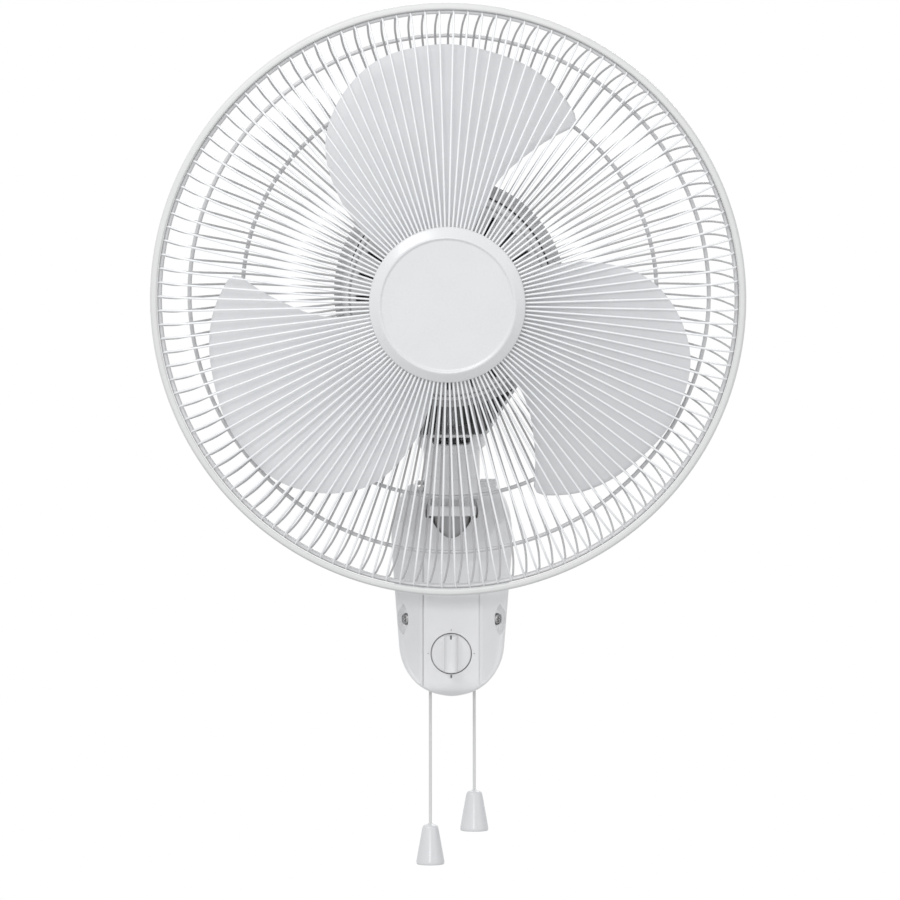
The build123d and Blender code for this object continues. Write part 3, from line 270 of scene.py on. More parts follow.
def eased(points, radii, steps=5):
    """An open line of points with its inner corners rounded off, by one radius or one for each point."""
    points = [Vector(p) for p in points]
    line = [points[0]]
    for i in range(1, len(points) - 1):
        corner, before, after = points[i], points[i - 1], points[i + 1]
        radius = radii[i] if isinstance(radii, (list, tuple)) else radii
        start = corner + (before - corner).normalized() * min(radius, (before - corner).length * 0.48)
        end = corner + (after - corner).normalized() * min(radius, (after - corner).length * 0.48)
        for k in range(steps + 1):
            t = k / steps
            line.append(start * (1 - t) ** 2 + corner * (2 * t * (1 - t)) + end * t ** 2)
    line.append(points[-1])
    return line


def eased_flat(points, radii, steps=5):
    """The same for a line of pairs."""
    return [(p.x, p.y) for p in eased([(x, y, 0) for x, y in points], radii, steps)]


def turned(profile, sides=128, closed=False):
    """Points and faces of a form turned about a frame's z axis, from points (radius, height)."""
    points, faces, rows = [], [], []
    for r, z in profile:
        if r < TINY:
            rows.append([len(points)] * sides)
            points.append((0, 0, z))
        else:
            rows.append(list(range(len(points), len(points) + sides)))
            points.extend((r * cos(2 * pi * k / sides), r * sin(2 * pi * k / sides), z) for k in range(sides))
    count = len(rows) if closed else len(rows) - 1
    for i in range(count):
        a, b = rows[i], rows[(i + 1) % len(rows)]
        for k in range(sides):
            n = (k + 1) % sides
            face = []
            for v in (a[k], a[n], b[n], b[k]):
                if v not in face:
                    face.append(v)
            if len(face) > 2:
                faces.append(face)
    return points, faces


def turned_piece(name, profile, matrix, body, material, slot, replaced=(), sides=128, closed=False, ease=0.0,
                 sharp=SHARP_ANGLE):
    """A turned piece, with the corners of its profile eased."""
    line = [Vector((r, z, 0)) for r, z in profile]
    if ease and closed:
        middle = (line[0] + line[1]) / 2
        line = eased([middle, *line[1:], line[0], middle], ease)[:-1]
    elif ease:
        line = eased(line, ease)
    points, faces = turned([(p.x, p.y) for p in line], sides, closed)
    return mesh_piece(name, points, faces, matrix, body, material, slot, replaced, sharp)


def tubes(lines, radius, sides=8):
    """Points and faces of round tubes along lines of points."""
    points, faces = [], []
    for line in lines:
        side = Vector((0, 0, 1)).cross((line[1] - line[0]).normalized()).normalized()
        start = len(points)
        for i, p in enumerate(line):
            ahead = (line[min(i + 1, len(line) - 1)] - line[max(i - 1, 0)]).normalized()
            side = (side - ahead * side.dot(ahead)).normalized()
            up = ahead.cross(side)
            for k in range(sides):
                a = 2 * pi * k / sides
                points.append(p + side * (radius * cos(a)) + up * (radius * sin(a)))
        for i in range(len(line) - 1):
            for k in range(sides):
                n = (k + 1) % sides
                a, b = start + i * sides, start + (i + 1) * sides
                faces.append((a + k, a + n, b + n, b + k))
        faces.append(tuple(start + k for k in reversed(range(sides))))
        last = start + (len(line) - 1) * sides
        faces.append(tuple(last + k for k in range(sides)))
    return points, faces


def lofted(rows, cap_start=True):
    """Points and faces through rows of the same number of points, each row a closed line."""
    points, faces = [], []
    n = len(rows[0])
    for row in rows:
        points.extend(row)
    for i in range(len(rows) - 1):
        for k in range(n):
            m = (k + 1) % n
            faces.append((i * n + k, i * n + m, (i + 1) * n + m, (i + 1) * n + k))
    if cap_start:
        faces.append(tuple(reversed(range(n))))
    faces.append(tuple((len(rows) - 1) * n + k for k in range(n)))
    return points, faces


def boxed(size, corner=0.0, steps=5):
    """A flat outline of a rectangle with rounded corners, as pairs."""
    w, h = size[0] / 2, size[1] / 2
    if not corner:
        return [(w, h), (-w, h), (-w, -h), (w, -h)]
    outline = []
    for cx, cy, start in ((w, h, 0), (-w, h, 90), (-w, -h, 180), (w, -h, 270)):
        ox, oy = cx - corner * (1 if cx > 0 else -1), cy - corner * (1 if cy > 0 else -1)
        for k in range(steps + 1):
            a = radians(start + 90 * k / steps)
            outline.append((ox + corner * cos(a), oy + corner * sin(a)))
    return outline


def bar(outline, start, end, axis="z", shift=(0, 0)):
    """Points and faces of a flat outline drawn out along an axis between two places."""
    rows = []
    for place in (start, end):
        row = []
        for u, v in outline:
            point = [u + shift[0], v + shift[1]]
            point.insert("xyz".index(axis), place)
            row.append(tuple(point))
        rows.append(row)
    return lofted(rows)


def cutter(name, points, faces, matrix):
    """A form for cut(), which takes it away again."""
    return mesh_piece(name, points, faces, matrix, None, housing, None)


def rod(name, radius, low, high, matrix, sides=64):
    """A round cutter along a frame's z axis."""
    return cutter(name, *turned([(0, low), (radius, low), (radius, high), (0, high)], sides), matrix)


def cut(piece, *cutters):
    """Cuts forms out of a piece and takes the cutters away."""
    for form in cutters:
        modifier = piece.modifiers.new("cut", "BOOLEAN")
        modifier.operation = "DIFFERENCE"
        modifier.solver = "EXACT"
        modifier.object = form
    shape = piece.evaluated_get(bpy.context.evaluated_depsgraph_get())
    mesh = bpy.data.meshes.new_from_object(shape)
    piece.modifiers.clear()
    old = piece.data
    piece.data = mesh
    mesh.name = old.name
    bpy.data.meshes.remove(old)
    shade(mesh)
    for form in cutters:
        bpy.data.objects.remove(form)


def soften(piece, width):
    """Rounds off a piece's sharp edges."""
    modifier = piece.modifiers.new("soften", "BEVEL")
    modifier.width = width * MM
    modifier.segments = 3
    modifier.limit_method = "ANGLE"
    modifier.angle_limit = radians(35)


def thicken(piece, thickness):
    """Gives a shell of a piece's surface a thickness inward."""
    modifier = piece.modifiers.new("wall", "SOLIDIFY")
    modifier.thickness = thickness * MM
    modifier.offset = -1


def value_at(line, height, beyond):
    """The value at a height on a line of pairs (value, height), or another beyond its ends."""
    for (v0, z0), (v1, z1) in zip(line, line[1:]):
        if z0 <= height <= z1 and z1 > z0:
            return v0 + (v1 - v0) * (height - z0) / (z1 - z0)
    return beyond


# ---- pull cords, which come first after the camera ----
CORD_X, CORD_Y, CORD_D = 17.7, -44.0, 2.4
CORD_TOP_Z, EXIT_Z = -66.0, -84.5
PULL_HEIGHT = 33.0
for side_name, x, top_z in (("left", -CORD_X, -189.3), ("right", CORD_X, -162.1)):
    low_z = top_z - PULL_HEIGHT
    handle = turned_piece(
        f"{side_name}_pull_bell",
        [(0, top_z), (1.9, top_z), (2.3, top_z - 1.1), (5.0, top_z - 1.3), (6.3, top_z - 2.9),
         (7.2, top_z - 7.5), (11.4, low_z + 2.0), (11.2, low_z), (9.6, low_z), (8.9, low_z + 3),
         (0, low_z + 4)],
        upright(x, CORD_Y), f"{side_name}_pull", pull_plastic, "housing", [f"{side_name}_pull_handle"], 64,
        ease=1.1,
    )
    curve = bpy.data.curves.new(f"{side_name}_pull_string", "CURVE")
    curve.dimensions = "3D"
    spline = curve.splines.new("NURBS")
    route = [(x, CORD_Y, CORD_TOP_Z), (x, CORD_Y, EXIT_Z), (x, CORD_Y, (EXIT_Z + top_z) / 2),
             (x, CORD_Y, top_z)]
    spline.points.add(len(route) - 1)
    for point, place in zip(spline.points, route):
        point.co = (*[v * MM for v in place], 1)
    spline.order_u = 3
    spline.use_endpoint_u = True
    curve.bevel_depth = CORD_D / 2 * MM
    curve.bevel_resolution = 4
    curve.materials.append(cord_weave)
    string = bpy.data.objects.new(f"{side_name}_pull_string", curve)
    bpy.context.collection.objects.link(string)
    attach(string, f"{side_name}_pull")
    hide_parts(f"{side_name}_pull_cord")

# ---- guard: round wires on their rings, held by the rim ----
WIRE_COUNT = 128
PITCH = 360 / WIRE_COUNT
FRONT_WIRE_R, REAR_WIRE_R, RING_WIRE_R = 0.78, 0.85, 1.6
RIM_RING_R, OUTER_RING_R, INNER_RING_R = 218.0, 199.0, 160.0
ROUND_SHARP = 60


def at(radius, degrees_round, z):
    """A point by its radius, its angle round the axis and its height."""
    return (radius * cos(radians(degrees_round)), radius * sin(radians(degrees_round)), z)


front_lines, rear_lines = [], []
for i in range(WIRE_COUNT):
    a = (i + 0.5) * PITCH
    middle = a + PITCH / 2
    front_lines.append(eased([at(50, a, 16), at(203, a, 12.2), at(217.4, a, 4.4), at(218.6, a + 0.1, 3.6)],
                             [0, 9, 1.2, 0], 4))
    rear_lines.append(
        eased([at(217.6, a + 0.08, -3.6), at(216.2, a + 0.5, -5.9), at(208.5, middle - 0.3, -19),
               at(OUTER_RING_R, middle, -35), at(INNER_RING_R, middle, -61), at(84, middle, -66)],
              [0, 1.6, 7, 10, 12, 0], 4)
    )
mesh_piece("front_wires", *tubes(front_lines, FRONT_WIRE_R), HEAD, "head", front_enamel, "wire_enamel",
           ["front_guard_wires"], ROUND_SHARP)
mesh_piece("rear_wires", *tubes(rear_lines, REAR_WIRE_R), HEAD, "head", painted_shade_rear_enamel, "wire_enamel",
           ["rear_guard_wires"], ROUND_SHARP)

for name, radius, z, node in (
    ("front_rim_wire", RIM_RING_R, 1.8, "front_guard_ring"),
    ("rear_rim_wire", RIM_RING_R, -1.8, "rear_guard_ring"),
    ("outer_back_ring", OUTER_RING_R, -38.5, "rear_outer_support_ring"),
    ("inner_back_ring", INNER_RING_R, -63.6, "rear_inner_support_ring"),
):
    section = [(radius + RING_WIRE_R * cos(2 * pi * k / 12), z + RING_WIRE_R * sin(2 * pi * k / 12))
               for k in range(12)]
    turned_piece(name, section, HEAD, "head", painted_shade_ring_enamel, "wire_enamel", [node], 180, closed=True,
                 sharp=ROUND_SHARP)

turned_piece(
    "rim_hoop",
    [(219.3, 5.0), (220.4, 6.4), (223.4, 6.4), (224.9, 4.2), (224.95, -5.4), (223.9, -7.4), (222.9, -6.6),
     (223.2, 3.2), (221.2, 4.6)],
    HEAD, "head", rim_plastic, "rim_plastic", ["rim_band"], 240, closed=True, ease=0.9,
)
CAP_BACK = 16.5
turned_piece(
    "cap_disc",
    [(0, CAP_BACK + 5.0), (49.2, CAP_BACK + 5.0), (50.2, CAP_BACK + 5.9), (51.5, CAP_BACK + 5.95),
     (58.6, CAP_BACK + 1.6), (58.9, CAP_BACK + 0.1), (0, CAP_BACK + 0.1)],
    HEAD, "head", smooth_white, "housing", ["front_cap"], 160, ease=0.9,
)
turned_piece(
    "cap_clamp_disc",
    [(0, 14.85), (52.5, 14.85), (53.9, 13.9), (52.5, 13.0), (0, 13.0)],
    HEAD, "head", painted_shade_ring_enamel, "wire_enamel", ["cap_plate"], 96, ease=0.4,
)
turned_piece(
    "back_clamp_ring",
    [(79.7, -67.05), (89.6, -67.05), (89.8, -68.9), (79.7, -68.9)],
    HEAD, "head", painted_shade_ring_enamel, "wire_enamel", ["rear_guard_plate"], 128, closed=True, ease=0.5,
)

# ---- motor front: a drum whose face has a ring of slots ----
CASE_WALL = 2.2
DRUM_R = 78.9
DRUM_SLOTS, PARTS_PER_SLOT = 24, 8
BRIDGE_PARTS = (0, PARTS_PER_SLOT - 1)
SLOT_ROW = 6
drum_sides = DRUM_SLOTS * PARTS_PER_SLOT
drum_profile = [(12.2, -27.9), (14, -27.1), (30, -27.1), (31.5, -28.4), (33, -27.1), (50, -27.1), (53, -27.2),
                (70.5, -27.2), (73.4, -27.1), (74.4, -27.5), (74.7, -29.4), (75.7, -29.4), (76, -27.5),
                (77, -27.2), (DRUM_R, -29.2), (DRUM_R, -40), (DRUM_R, -68.8)]
drum_points, drum_faces = [], []
for r, z in drum_profile:
    drum_points.extend(at(r, 360 * k / drum_sides, z) for k in range(drum_sides))
for i in range(len(drum_profile) - 1):
    for k in range(drum_sides):
        if i == SLOT_ROW and k % PARTS_PER_SLOT in BRIDGE_PARTS:
            continue
        n = (k + 1) % drum_sides
        a, b = i * drum_sides, (i + 1) * drum_sides
        drum_faces.append((a + k, a + n, b + n, b + k))
# The drum's grey colour is painted shade.
drum = mesh_piece("motor_drum", drum_points, drum_faces, HEAD, "head", painted_shade_motor_plastic, "housing",
                  ["motor_front_case"])
thicken(drum, CASE_WALL)

# ---- motor rear ----
CASE_R = 84.0
CASE_SPLIT = -68.95
TAIL_ROUND = 12.0
TAIL_X, TAIL_Y = 21.0, -102.0
VENT_COUNT, VENT_SIZE, VENT_R = 12, (14, 3), 34
VENT_CUT_FROM, VENT_CUT_TO = CASE_SPLIT - 84, CASE_SPLIT - 100
BOSS_HOLE_R = 19.2


def case_outline(inset, count=144):
    """The rear case's outline: the round motor drawn down over the neck, closed in by an inset."""
    circles = [(0.0, 0.0, CASE_R - inset)]
    drawn_in = max(0.0, inset - TAIL_ROUND + 2)
    share = 1 - drawn_in / hypot(TAIL_X, TAIL_Y)
    for cx in (-TAIL_X, TAIL_X):
        circles.append((cx * share, TAIL_Y * share, max(2.0, TAIL_ROUND - inset)))
    outline = []
    for k in range(count):
        a = 2 * pi * k / count
        nx, ny = cos(a), sin(a)
        best = max(circles, key=lambda c: c[0] * nx + c[1] * ny + c[2])
        outline.append((best[0] + best[2] * nx, best[1] + best[2] * ny))
    return outline


case_line = eased_flat([(0, 0), (0.6, 40), (3.7, 70), (11.8, 84), (23.9, 90.6), (40, 90.8)],
                       [0, 12, 12, 9, 8, 0])
case_rows = [[(x, y, CASE_SPLIT - depth) for x, y in case_outline(inset)] for inset, depth in case_line]
rear_case = mesh_piece("motor_back_shell", *lofted(case_rows, cap_start=False), HEAD, "head", housing,
                       "housing", ["motor_rear_case"])
thicken(rear_case, CASE_WALL)
vents = []
for i in range(VENT_COUNT):
    a = radians(i * 360 / VENT_COUNT)
    outline = [((VENT_R + x) * cos(a) - y * sin(a), (VENT_R + x) * sin(a) + y * cos(a))
               for x, y in boxed(VENT_SIZE, 1.4, 4)]
    vents.append(cutter(f"vent_{i}", *bar(outline, VENT_CUT_FROM, VENT_CUT_TO), HEAD))
cut(rear_case, *vents, rod("boss_hole", BOSS_HOLE_R, 20, 72, NECK))

# ---- blades: drawn between their back and front edges, and dished by the camber ----
BACK_EDGE = [(-34, 24), (-60, 50), (-78, 73), (-90, 104), (-90, 130), (-78, 157), (-56, 179.5), (-28, 190.5),
             (8, 193), (50, 181.5), (78, 164), (95, 142), (97, 134)]
FRONT_EDGE = [(12, 34), (20, 55), (28, 73), (35, 86), (47, 99.5), (72, 118), (94, 129.5)]
CAMBER = [(-100, 4), (-50, 0), (0, -8), (50, -19), (100, -31)]
BLADE_COUNT = 3
BLADE_THICK, EDGE_ROUND = 2.2, 2.0
LONG, WIDE = 60, 25


def along(points, count):
    """A smooth line through points, as a number of points evenly spaced along it."""
    fine = []
    for i in range(len(points) - 1):
        p0 = Vector(points[max(i - 1, 0)])
        p1, p2 = Vector(points[i]), Vector(points[i + 1])
        p3 = Vector(points[min(i + 2, len(points) - 1)])
        for k in range(16):
            t = k / 16
            fine.append(0.5 * (2 * p1 + (p2 - p0) * t + (2 * p0 - 5 * p1 + 4 * p2 - p3) * t ** 2
                               + (3 * p1 - p0 - 3 * p2 + p3) * t ** 3))
    fine.append(Vector(points[-1]))
    lengths = [0.0]
    for a, b in zip(fine, fine[1:]):
        lengths.append(lengths[-1] + (b - a).length)
    spaced, j = [], 0
    for i in range(count):
        want = lengths[-1] * i / (count - 1)
        while j < len(fine) - 2 and lengths[j + 1] < want:
            j += 1
        t = (want - lengths[j]) / (lengths[j + 1] - lengths[j])
        spaced.append(fine[j].lerp(fine[j + 1], min(1.0, t)))
    return spaced


camber_line = [(p.y, p.x) for p in along(CAMBER, 120)]
trail, lead = along(BACK_EDGE, LONG), along(FRONT_EDGE, LONG)
blade_points, blade_faces = [], []
top_count = LONG * WIDE
for top in (1, -1):
    for i in range(LONG):
        for j in range(WIDE):
            s = j / (WIDE - 1)
            p = trail[i].lerp(lead[i], s)
            from_edge = min(s, 1 - s) * (trail[i] - lead[i]).length
            half = BLADE_THICK / 2 * sqrt(1 - (1 - min(1.0, from_edge / EDGE_ROUND)) ** 2)
            blade_points.append((p.x, p.y, value_at(camber_line, p.x, 0) - BLADE_THICK / 2 + top * half))
for base in (0, top_count):
    for i in range(LONG - 1):
        for j in range(WIDE - 1):
            a = base + i * WIDE + j
            blade_faces.append((a, a + 1, a + WIDE + 1, a + WIDE))
for i in range(LONG - 1):
    for j in (0, WIDE - 1):
        a = i * WIDE + j
        blade_faces.append((a, a + WIDE, a + WIDE + top_count, a + top_count))
for i in (0, LONG - 1):
    for j in range(WIDE - 1):
        a = i * WIDE + j
        blade_faces.append((a, a + 1, a + 1 + top_count, a + top_count))

hub_line = eased_flat([(4.2, -19.9), (41.9, -19.9), (41.9, 0.4), (37.2, 4.9), (4.2, 4.9)], [0, 1.5, 4, 4, 0])
rotor_points, rotor_faces = turned(hub_line, closed=True)
for i in range(BLADE_COUNT):
    turn = Matrix.Rotation(radians(360 / BLADE_COUNT * i), 4, "Z")
    start = len(rotor_points)
    rotor_points.extend(turn @ Vector(p) for p in blade_points)
    rotor_faces.extend(tuple(start + v for v in face) for face in blade_faces)
mesh_piece("blades_and_hub", rotor_points, rotor_faces, HEAD, "rotor", blade_plastic, "blade_plastic",
           ["blade_set"], sharp=40)
turned_piece("spinner", [(0, 10.4), (9, 10.3), (13.5, 9.2), (14.9, 5.2), (4.2, 5.2)], HEAD, "rotor", housing,
             "housing", ["spinner_nut"], 48, ease=1.2)

# ---- neck: a cup under the motor, and a fork with round cheeks over the pivot ----
WINDOW_SIZE, WINDOW_Z = (30, 21), 47.5
neck_cup = turned_piece(
    "neck_cup",
    [(20.1, 49.0), (20.1, 34.0), (7.8, 34.0), (7.8, 29.6), (22.3, 29.6), (23.4, 29.9), (27.3, 33.6),
     (27.4, 48.2), (26.6, 49.2)],
    NECK, "neck", housing, "housing", (), 96, closed=True, ease=0.8,
)
cut(neck_cup, cutter("window", *bar(boxed(WINDOW_SIZE, 2.5, 4), -40, -12, "y", (0, WINDOW_Z)), NECK))
soften(neck_cup, 0.5)

FORK_R, FORK_TOP, FORK_LOW = 22.4, 30.2, -10.3
FORK_GAP, FORK_GAP_TOP = 31.2, 8.8
FORK_SOFT = 0.7
SPINDLE_BORE_R = 7.75
CHEEK_R, CHEEK_TOP, CHEEK_SPREAD = 10.4, 8.4, 22.6
BAND_RADII, BAND_LOW, BAND_TOP = (22.9, 20.4), -5.0, 9.6
BAND_HALF_ANGLE, BAND_STEPS = 68, 36
fork_column = turned_piece(
    "neck_fork",
    [(0, FORK_TOP), (FORK_R, FORK_TOP), (FORK_R, FORK_LOW), (0, FORK_LOW)],
    NECK, "neck", housing, "housing", ["neck_column"], 96,
)
fork_cuts = [cutter("fork_slot", *bar(boxed((FORK_GAP, 60)), -20, FORK_GAP_TOP), NECK)]
quarter = [radians(90 * k / 12) for k in range(13)]
for sign, side_name in SIDES:
    outline = [(sign * 60, -30), (sign * 60, CHEEK_TOP)]
    for a in quarter:
        outline.append((sign * (CHEEK_SPREAD - (CHEEK_SPREAD - CHEEK_R) * sin(a)),
                        CHEEK_TOP - CHEEK_TOP * (1 - cos(a)) * 0.9))
    outline += [(sign * CHEEK_R * cos(a), -CHEEK_R * sin(a)) for a in quarter]
    outline.append((0, -30))
    fork_cuts.append(cutter(f"{side_name}_cheek_cut", *bar(outline, -40, 40, "x"), NECK))
band_outline = []
for r, turn in zip(BAND_RADII, (1, -1)):
    for k in range(BAND_STEPS + 1):
        a = radians(-90 + turn * (2 * BAND_HALF_ANGLE * k / BAND_STEPS - BAND_HALF_ANGLE))
        band_outline.append((r * cos(a), r * sin(a)))
band = mesh_piece("fork_band", *bar(band_outline, BAND_LOW, BAND_TOP), NECK, "neck", housing, "housing",
                  ["neck_column"])
soften(band, FORK_SOFT)
cut(fork_column, *fork_cuts, rod("bore_cut", SPINDLE_BORE_R, 14, 40, NECK, 48))
soften(fork_column, FORK_SOFT)

# ---- post, knuckle and pin under the fork ----
TUBE_R, TUBE_TOP = 14.1, 58.5
KNUCKLE_R, KNUCKLE_FOOT, KNUCKLE_HALF = 7.4, 60.0, 15.2
BRACKET_SIZE, BRACKET_Z, BRACKET_BACK = (24.4, 28.4), 6.2, -4.5
PIN_R, PIN_START, PIN_END = 3.95, -22.6, 30.9
turned_piece(
    "neck_stub",
    [(0, 67.2), (13.0, 67.2), (19.0, 67.0), (19.5, 65.6), (19.6, 59.4), (18.6, 58.6), (0, TUBE_TOP)],
    POST, "base", housing, "housing", ["neck_post"], 72, ease=0.9,
)
# The neck tube is white plastic in shade; its dark grey colour is painted shade.
turned_piece("neck_tube", [(0, TUBE_TOP), (TUBE_R, TUBE_TOP), (TUBE_R, -8.0), (0, -8.0)], POST, "base",
             painted_shade_plastic, "housing", ["neck_post"], 72)
knuckle_outline = [(-KNUCKLE_R, KNUCKLE_FOOT), (KNUCKLE_R, KNUCKLE_FOOT)] + [
    (KNUCKLE_R * cos(radians(a)), PIVOT_Z + KNUCKLE_R * sin(radians(a))) for a in range(0, 181, 12)
]
knuckle = mesh_piece("neck_knuckle", *bar(knuckle_outline, -KNUCKLE_HALF, KNUCKLE_HALF, "x", (PIVOT_Y, 0)),
                     WORLD, "base", housing, "housing", ["neck_post"])
soften(knuckle, 0.8)
mesh_piece("neck_bracket", *bar(boxed(BRACKET_SIZE, 2), PIVOT_Y + 2, BRACKET_BACK, "y", (0, BRACKET_Z)),
           WORLD, "base", housing, "housing", ["neck_post"])
turned_piece("pin_button", [(0, -29.3), (3.6, -29.3), (5.3, -28.3), (5.4, PIN_START), (0, PIN_START)], PIN,
             "neck", steel, "plated_steel", ["tilt_pin"], 40, ease=0.8)
turned_piece("pin_rod", [(0, PIN_START), (PIN_R, PIN_START), (PIN_R, PIN_END), (0, PIN_END)], PIN, "neck",
             steel, "plated_steel", ["tilt_pin"], 40)
FLUTES, FLUTE_DEPTH, CLAMP_KNOB_R, CLAMP_KNOB_SIDES = 16, 0.3, 5.65, 96
flute_rows = []
for x, grow in ((22.7, -0.8), (23.5, 0.0), (35.0, 0.0), (36.0, -1.0)):
    row = []
    for k in range(CLAMP_KNOB_SIDES):
        a = 2 * pi * k / CLAMP_KNOB_SIDES
        r = CLAMP_KNOB_R + FLUTE_DEPTH * cos(FLUTES * a) + grow
        row.append((r * cos(a), r * sin(a), x))
    flute_rows.append(row)
mesh_piece("clamp_knob", *lofted(flute_rows), PIN, "thumb", housing, "housing", ["thumb_screw"], sharp=50)

# ---- base cover: rounded below, sloped above, with a flat panel between two facets ----
BASE_BOTTOM, BASE_TOP, BASE_DEPTH = -84.5, 84.5, 88.0
BOTTOM_R = 42
BOTTOM_CENTRE = BASE_BOTTOM + BOTTOM_R
ARC_ANGLE = 90 - 4.8
PANEL_HALF = 23.3
FACET_SLOPE = 23.0 / (50 - PANEL_HALF)
FACET_EASE = 2.2
SEAM_Y = -18.2
SIDE_EDGE, EDGE_DEPTH_SHARE = 4.0, 1.2
ARC_STEPS, BOTTOM_STEPS, SIDE_STEPS, FRONT_STEPS, EDGE_STEPS = 14, 26, 60, 48, 5
base_outline = [(0.0, BASE_BOTTOM)]
for k in range(1, ARC_STEPS + 1):
    a = radians(-90 + ARC_ANGLE * k / ARC_STEPS)
    base_outline.append((BOTTOM_R * cos(a), BOTTOM_CENTRE + BOTTOM_R * sin(a)))
base_outline += eased_flat([(41.9, -46), (49, 42), (46, 66), (36, 84.4), (0, 84.4)], [0, 14, 10, 5, 0], 6)[1:]
side_line = eased_flat([(78.0, BASE_BOTTOM), (BASE_DEPTH, -78.5), (BASE_DEPTH, 40.0), (43.5, BASE_TOP)],
                       [0, 8, 22, 0], 8)


def front_at(x, z):
    """The y of the base's front surface, easing from the panel and slope into the facets."""
    facet = BASE_DEPTH - max(0.0, abs(x) - PANEL_HALF) * FACET_SLOPE
    depth = value_at(side_line, z, side_line[-1][0])
    gap = max(0.0, 1 - abs(facet - depth) / FACET_EASE)
    return -(min(facet, depth) - gap * gap * FACET_EASE / 4)


levels = [BASE_BOTTOM + BOTTOM_R * (1 - cos(pi / 2 * k / BOTTOM_STEPS)) for k in range(1, BOTTOM_STEPS)]
levels += [BOTTOM_CENTRE + (BASE_TOP - BOTTOM_CENTRE) * k / SIDE_STEPS for k in range(SIDE_STEPS + 1)]
base_rows = []
for z in levels:
    w = value_at(base_outline, z, base_outline[-2][0])
    edge = min(SIDE_EDGE, w * 0.5)
    corner_y = front_at(w - edge, z)
    front = []
    for k in range(FRONT_STEPS + 1):
        x = (w - edge) * (2 * k / FRONT_STEPS - 1)
        front.append((x, front_at(x, z), z))
    side = []
    for k in range(1, EDGE_STEPS + 1):
        a = pi / 2 * k / EDGE_STEPS
        side.append((w - edge + edge * sin(a), corner_y + edge * EDGE_DEPTH_SHARE * (1 - cos(a)), z))
    side += [(w, (corner_y + SEAM_Y) / 2, z), (w, SEAM_Y, z)]
    base_rows.append(front + side + [(-x, y, z) for x, y, z in reversed(side)])
cover = mesh_piece("base_shell", *lofted(base_rows), WORLD, "base", housing, "housing", ["base_front_cover"])

# ---- hollows, grooves and holes in the cover, and its two screws ----
KNOB_POCKET_R, KNOB_POCKET_FLOOR = 16.4, 80.8
POST_HOLE_R, COLLAR_HOLE_R, COLLAR_HOLE_FLOOR = 16.7, 21.2, 57.2
SCREW_X, SCREW_Z = 38.6, -23.4
GROOVE_X, GROOVE_LENGTH, GROOVE_Z = 22.3, 110, -29
GROOVES = {"left": (0.9, -85.6), "right": (0.7, -86.6)}     # width and the y of its floor
HOLLOW_LENGTH, HOLLOW_WIDTH, HOLLOW_POINT = 12.4, 5.7, 0.55
COUNTERBORE_R, COUNTERBORE_FLOOR = 4.9, -7.4
CROSS_LENGTH, CROSS_WIDTH = 4.4, 1.3
hollow_outline = []
for k in range(24):
    a = 2 * pi * k / 24
    hollow_outline.append((HOLLOW_LENGTH * cos(a), HOLLOW_WIDTH * sin(a) * (1 - HOLLOW_POINT * cos(a) ** 2)))
hollow_rows = [[(x * s, y * s, z) for x, y in hollow_outline]
               for z, s in ((-3.9, 0.66), (-2.9, 0.8), (0, 1.0), (8, 1.2))]
cover_cuts = [
    rod("knob_pocket", KNOB_POCKET_R, KNOB_POCKET_FLOOR, 100, KNOB),
    rod("post_hole", POST_HOLE_R, 5, 90, POST),
    rod("collar_hole", COLLAR_HOLE_R, COLLAR_HOLE_FLOOR, 90, POST),
]
for sign, side_name in SIDES:
    groove_width, groove_floor = GROOVES[side_name]
    groove = bar(boxed((groove_width, GROOVE_LENGTH), 0.34, 3), -90, groove_floor, "y",
                 (sign * GROOVE_X, GROOVE_Z))
    facet_y = (SCREW_X - PANEL_HALF) * FACET_SLOPE - BASE_DEPTH
    out = Vector((sign * FACET_SLOPE, -1, 0)).normalized()
    facet = placed(Vector((sign * SCREW_X, facet_y, SCREW_Z)), VERTICAL, out.cross(VERTICAL), out)
    cover_cuts.append(cutter(f"{side_name}_groove", *groove, WORLD))
    cover_cuts.append(cutter(f"{side_name}_hollow", *lofted(hollow_rows), facet))
    cover_cuts.append(rod(f"{side_name}_counterbore", COUNTERBORE_R, COUNTERBORE_FLOOR, -3.0, facet, 40))
    # The screw heads take the darker steel, which is painted shade.
    head = turned_piece(
        f"cover_screw_head_{side_name}",
        [(0, -2.2), (2.0, -2.3), (3.2, -2.9), (3.75, -4.0), (3.75, -7.3), (0, -7.3)],
        facet, "base", painted_shade_screw_steel, "plated_steel", ["cover_screws"], 40, ease=0.35,
    )
    cut(head, *[cutter("cross", *bar(boxed(size, 0.2, 2), -4.6, 0), facet)
                for size in ((CROSS_LENGTH, CROSS_WIDTH), (CROSS_WIDTH, CROSS_LENGTH))])
cut(cover, *cover_cuts)

# ---- base back case and wall plate ----
PLATE_SIZE, ROOM_SIZE = (71.6, 139.6), (72.6, 140.6)
WALL_SCREW_X, WALL_SCREW_Z, WALL_SCREW_R = 26, 56, 2.6
INLET_R, INLET_Y = 5.4, -11.2
INSET_SPAN = 60
both_sides = base_outline + [(-x, z) for x, z in reversed(base_outline[1:-1])]
back_rows = []
for y, inset in ((-0.1, 1.4), (-1.4, 0.1), (-17.9, 0.1), (-17.95, 0.6)):
    shrink = 1 - inset / INSET_SPAN
    back_rows.append([(x * shrink, y, z * shrink) for x, z in both_sides])
back_case = mesh_piece("base_back_shell", *lofted(back_rows), WORLD, "base", housing, "housing",
                       ["base_back_case"])
cut(back_case, cutter("plate_room", *bar(boxed(ROOM_SIZE, 9, 6), 1, -2.2, "y"), WORLD),
    rod("inlet", INLET_R, -90, -78, upright(0, INLET_Y), 40))
plate = mesh_piece("wall_bracket", *bar(boxed(PLATE_SIZE, 8.6, 6), 0, -2.0, "y"), WORLD, "base", galvanised,
                   "galvanised_steel", ["wall_plate"])
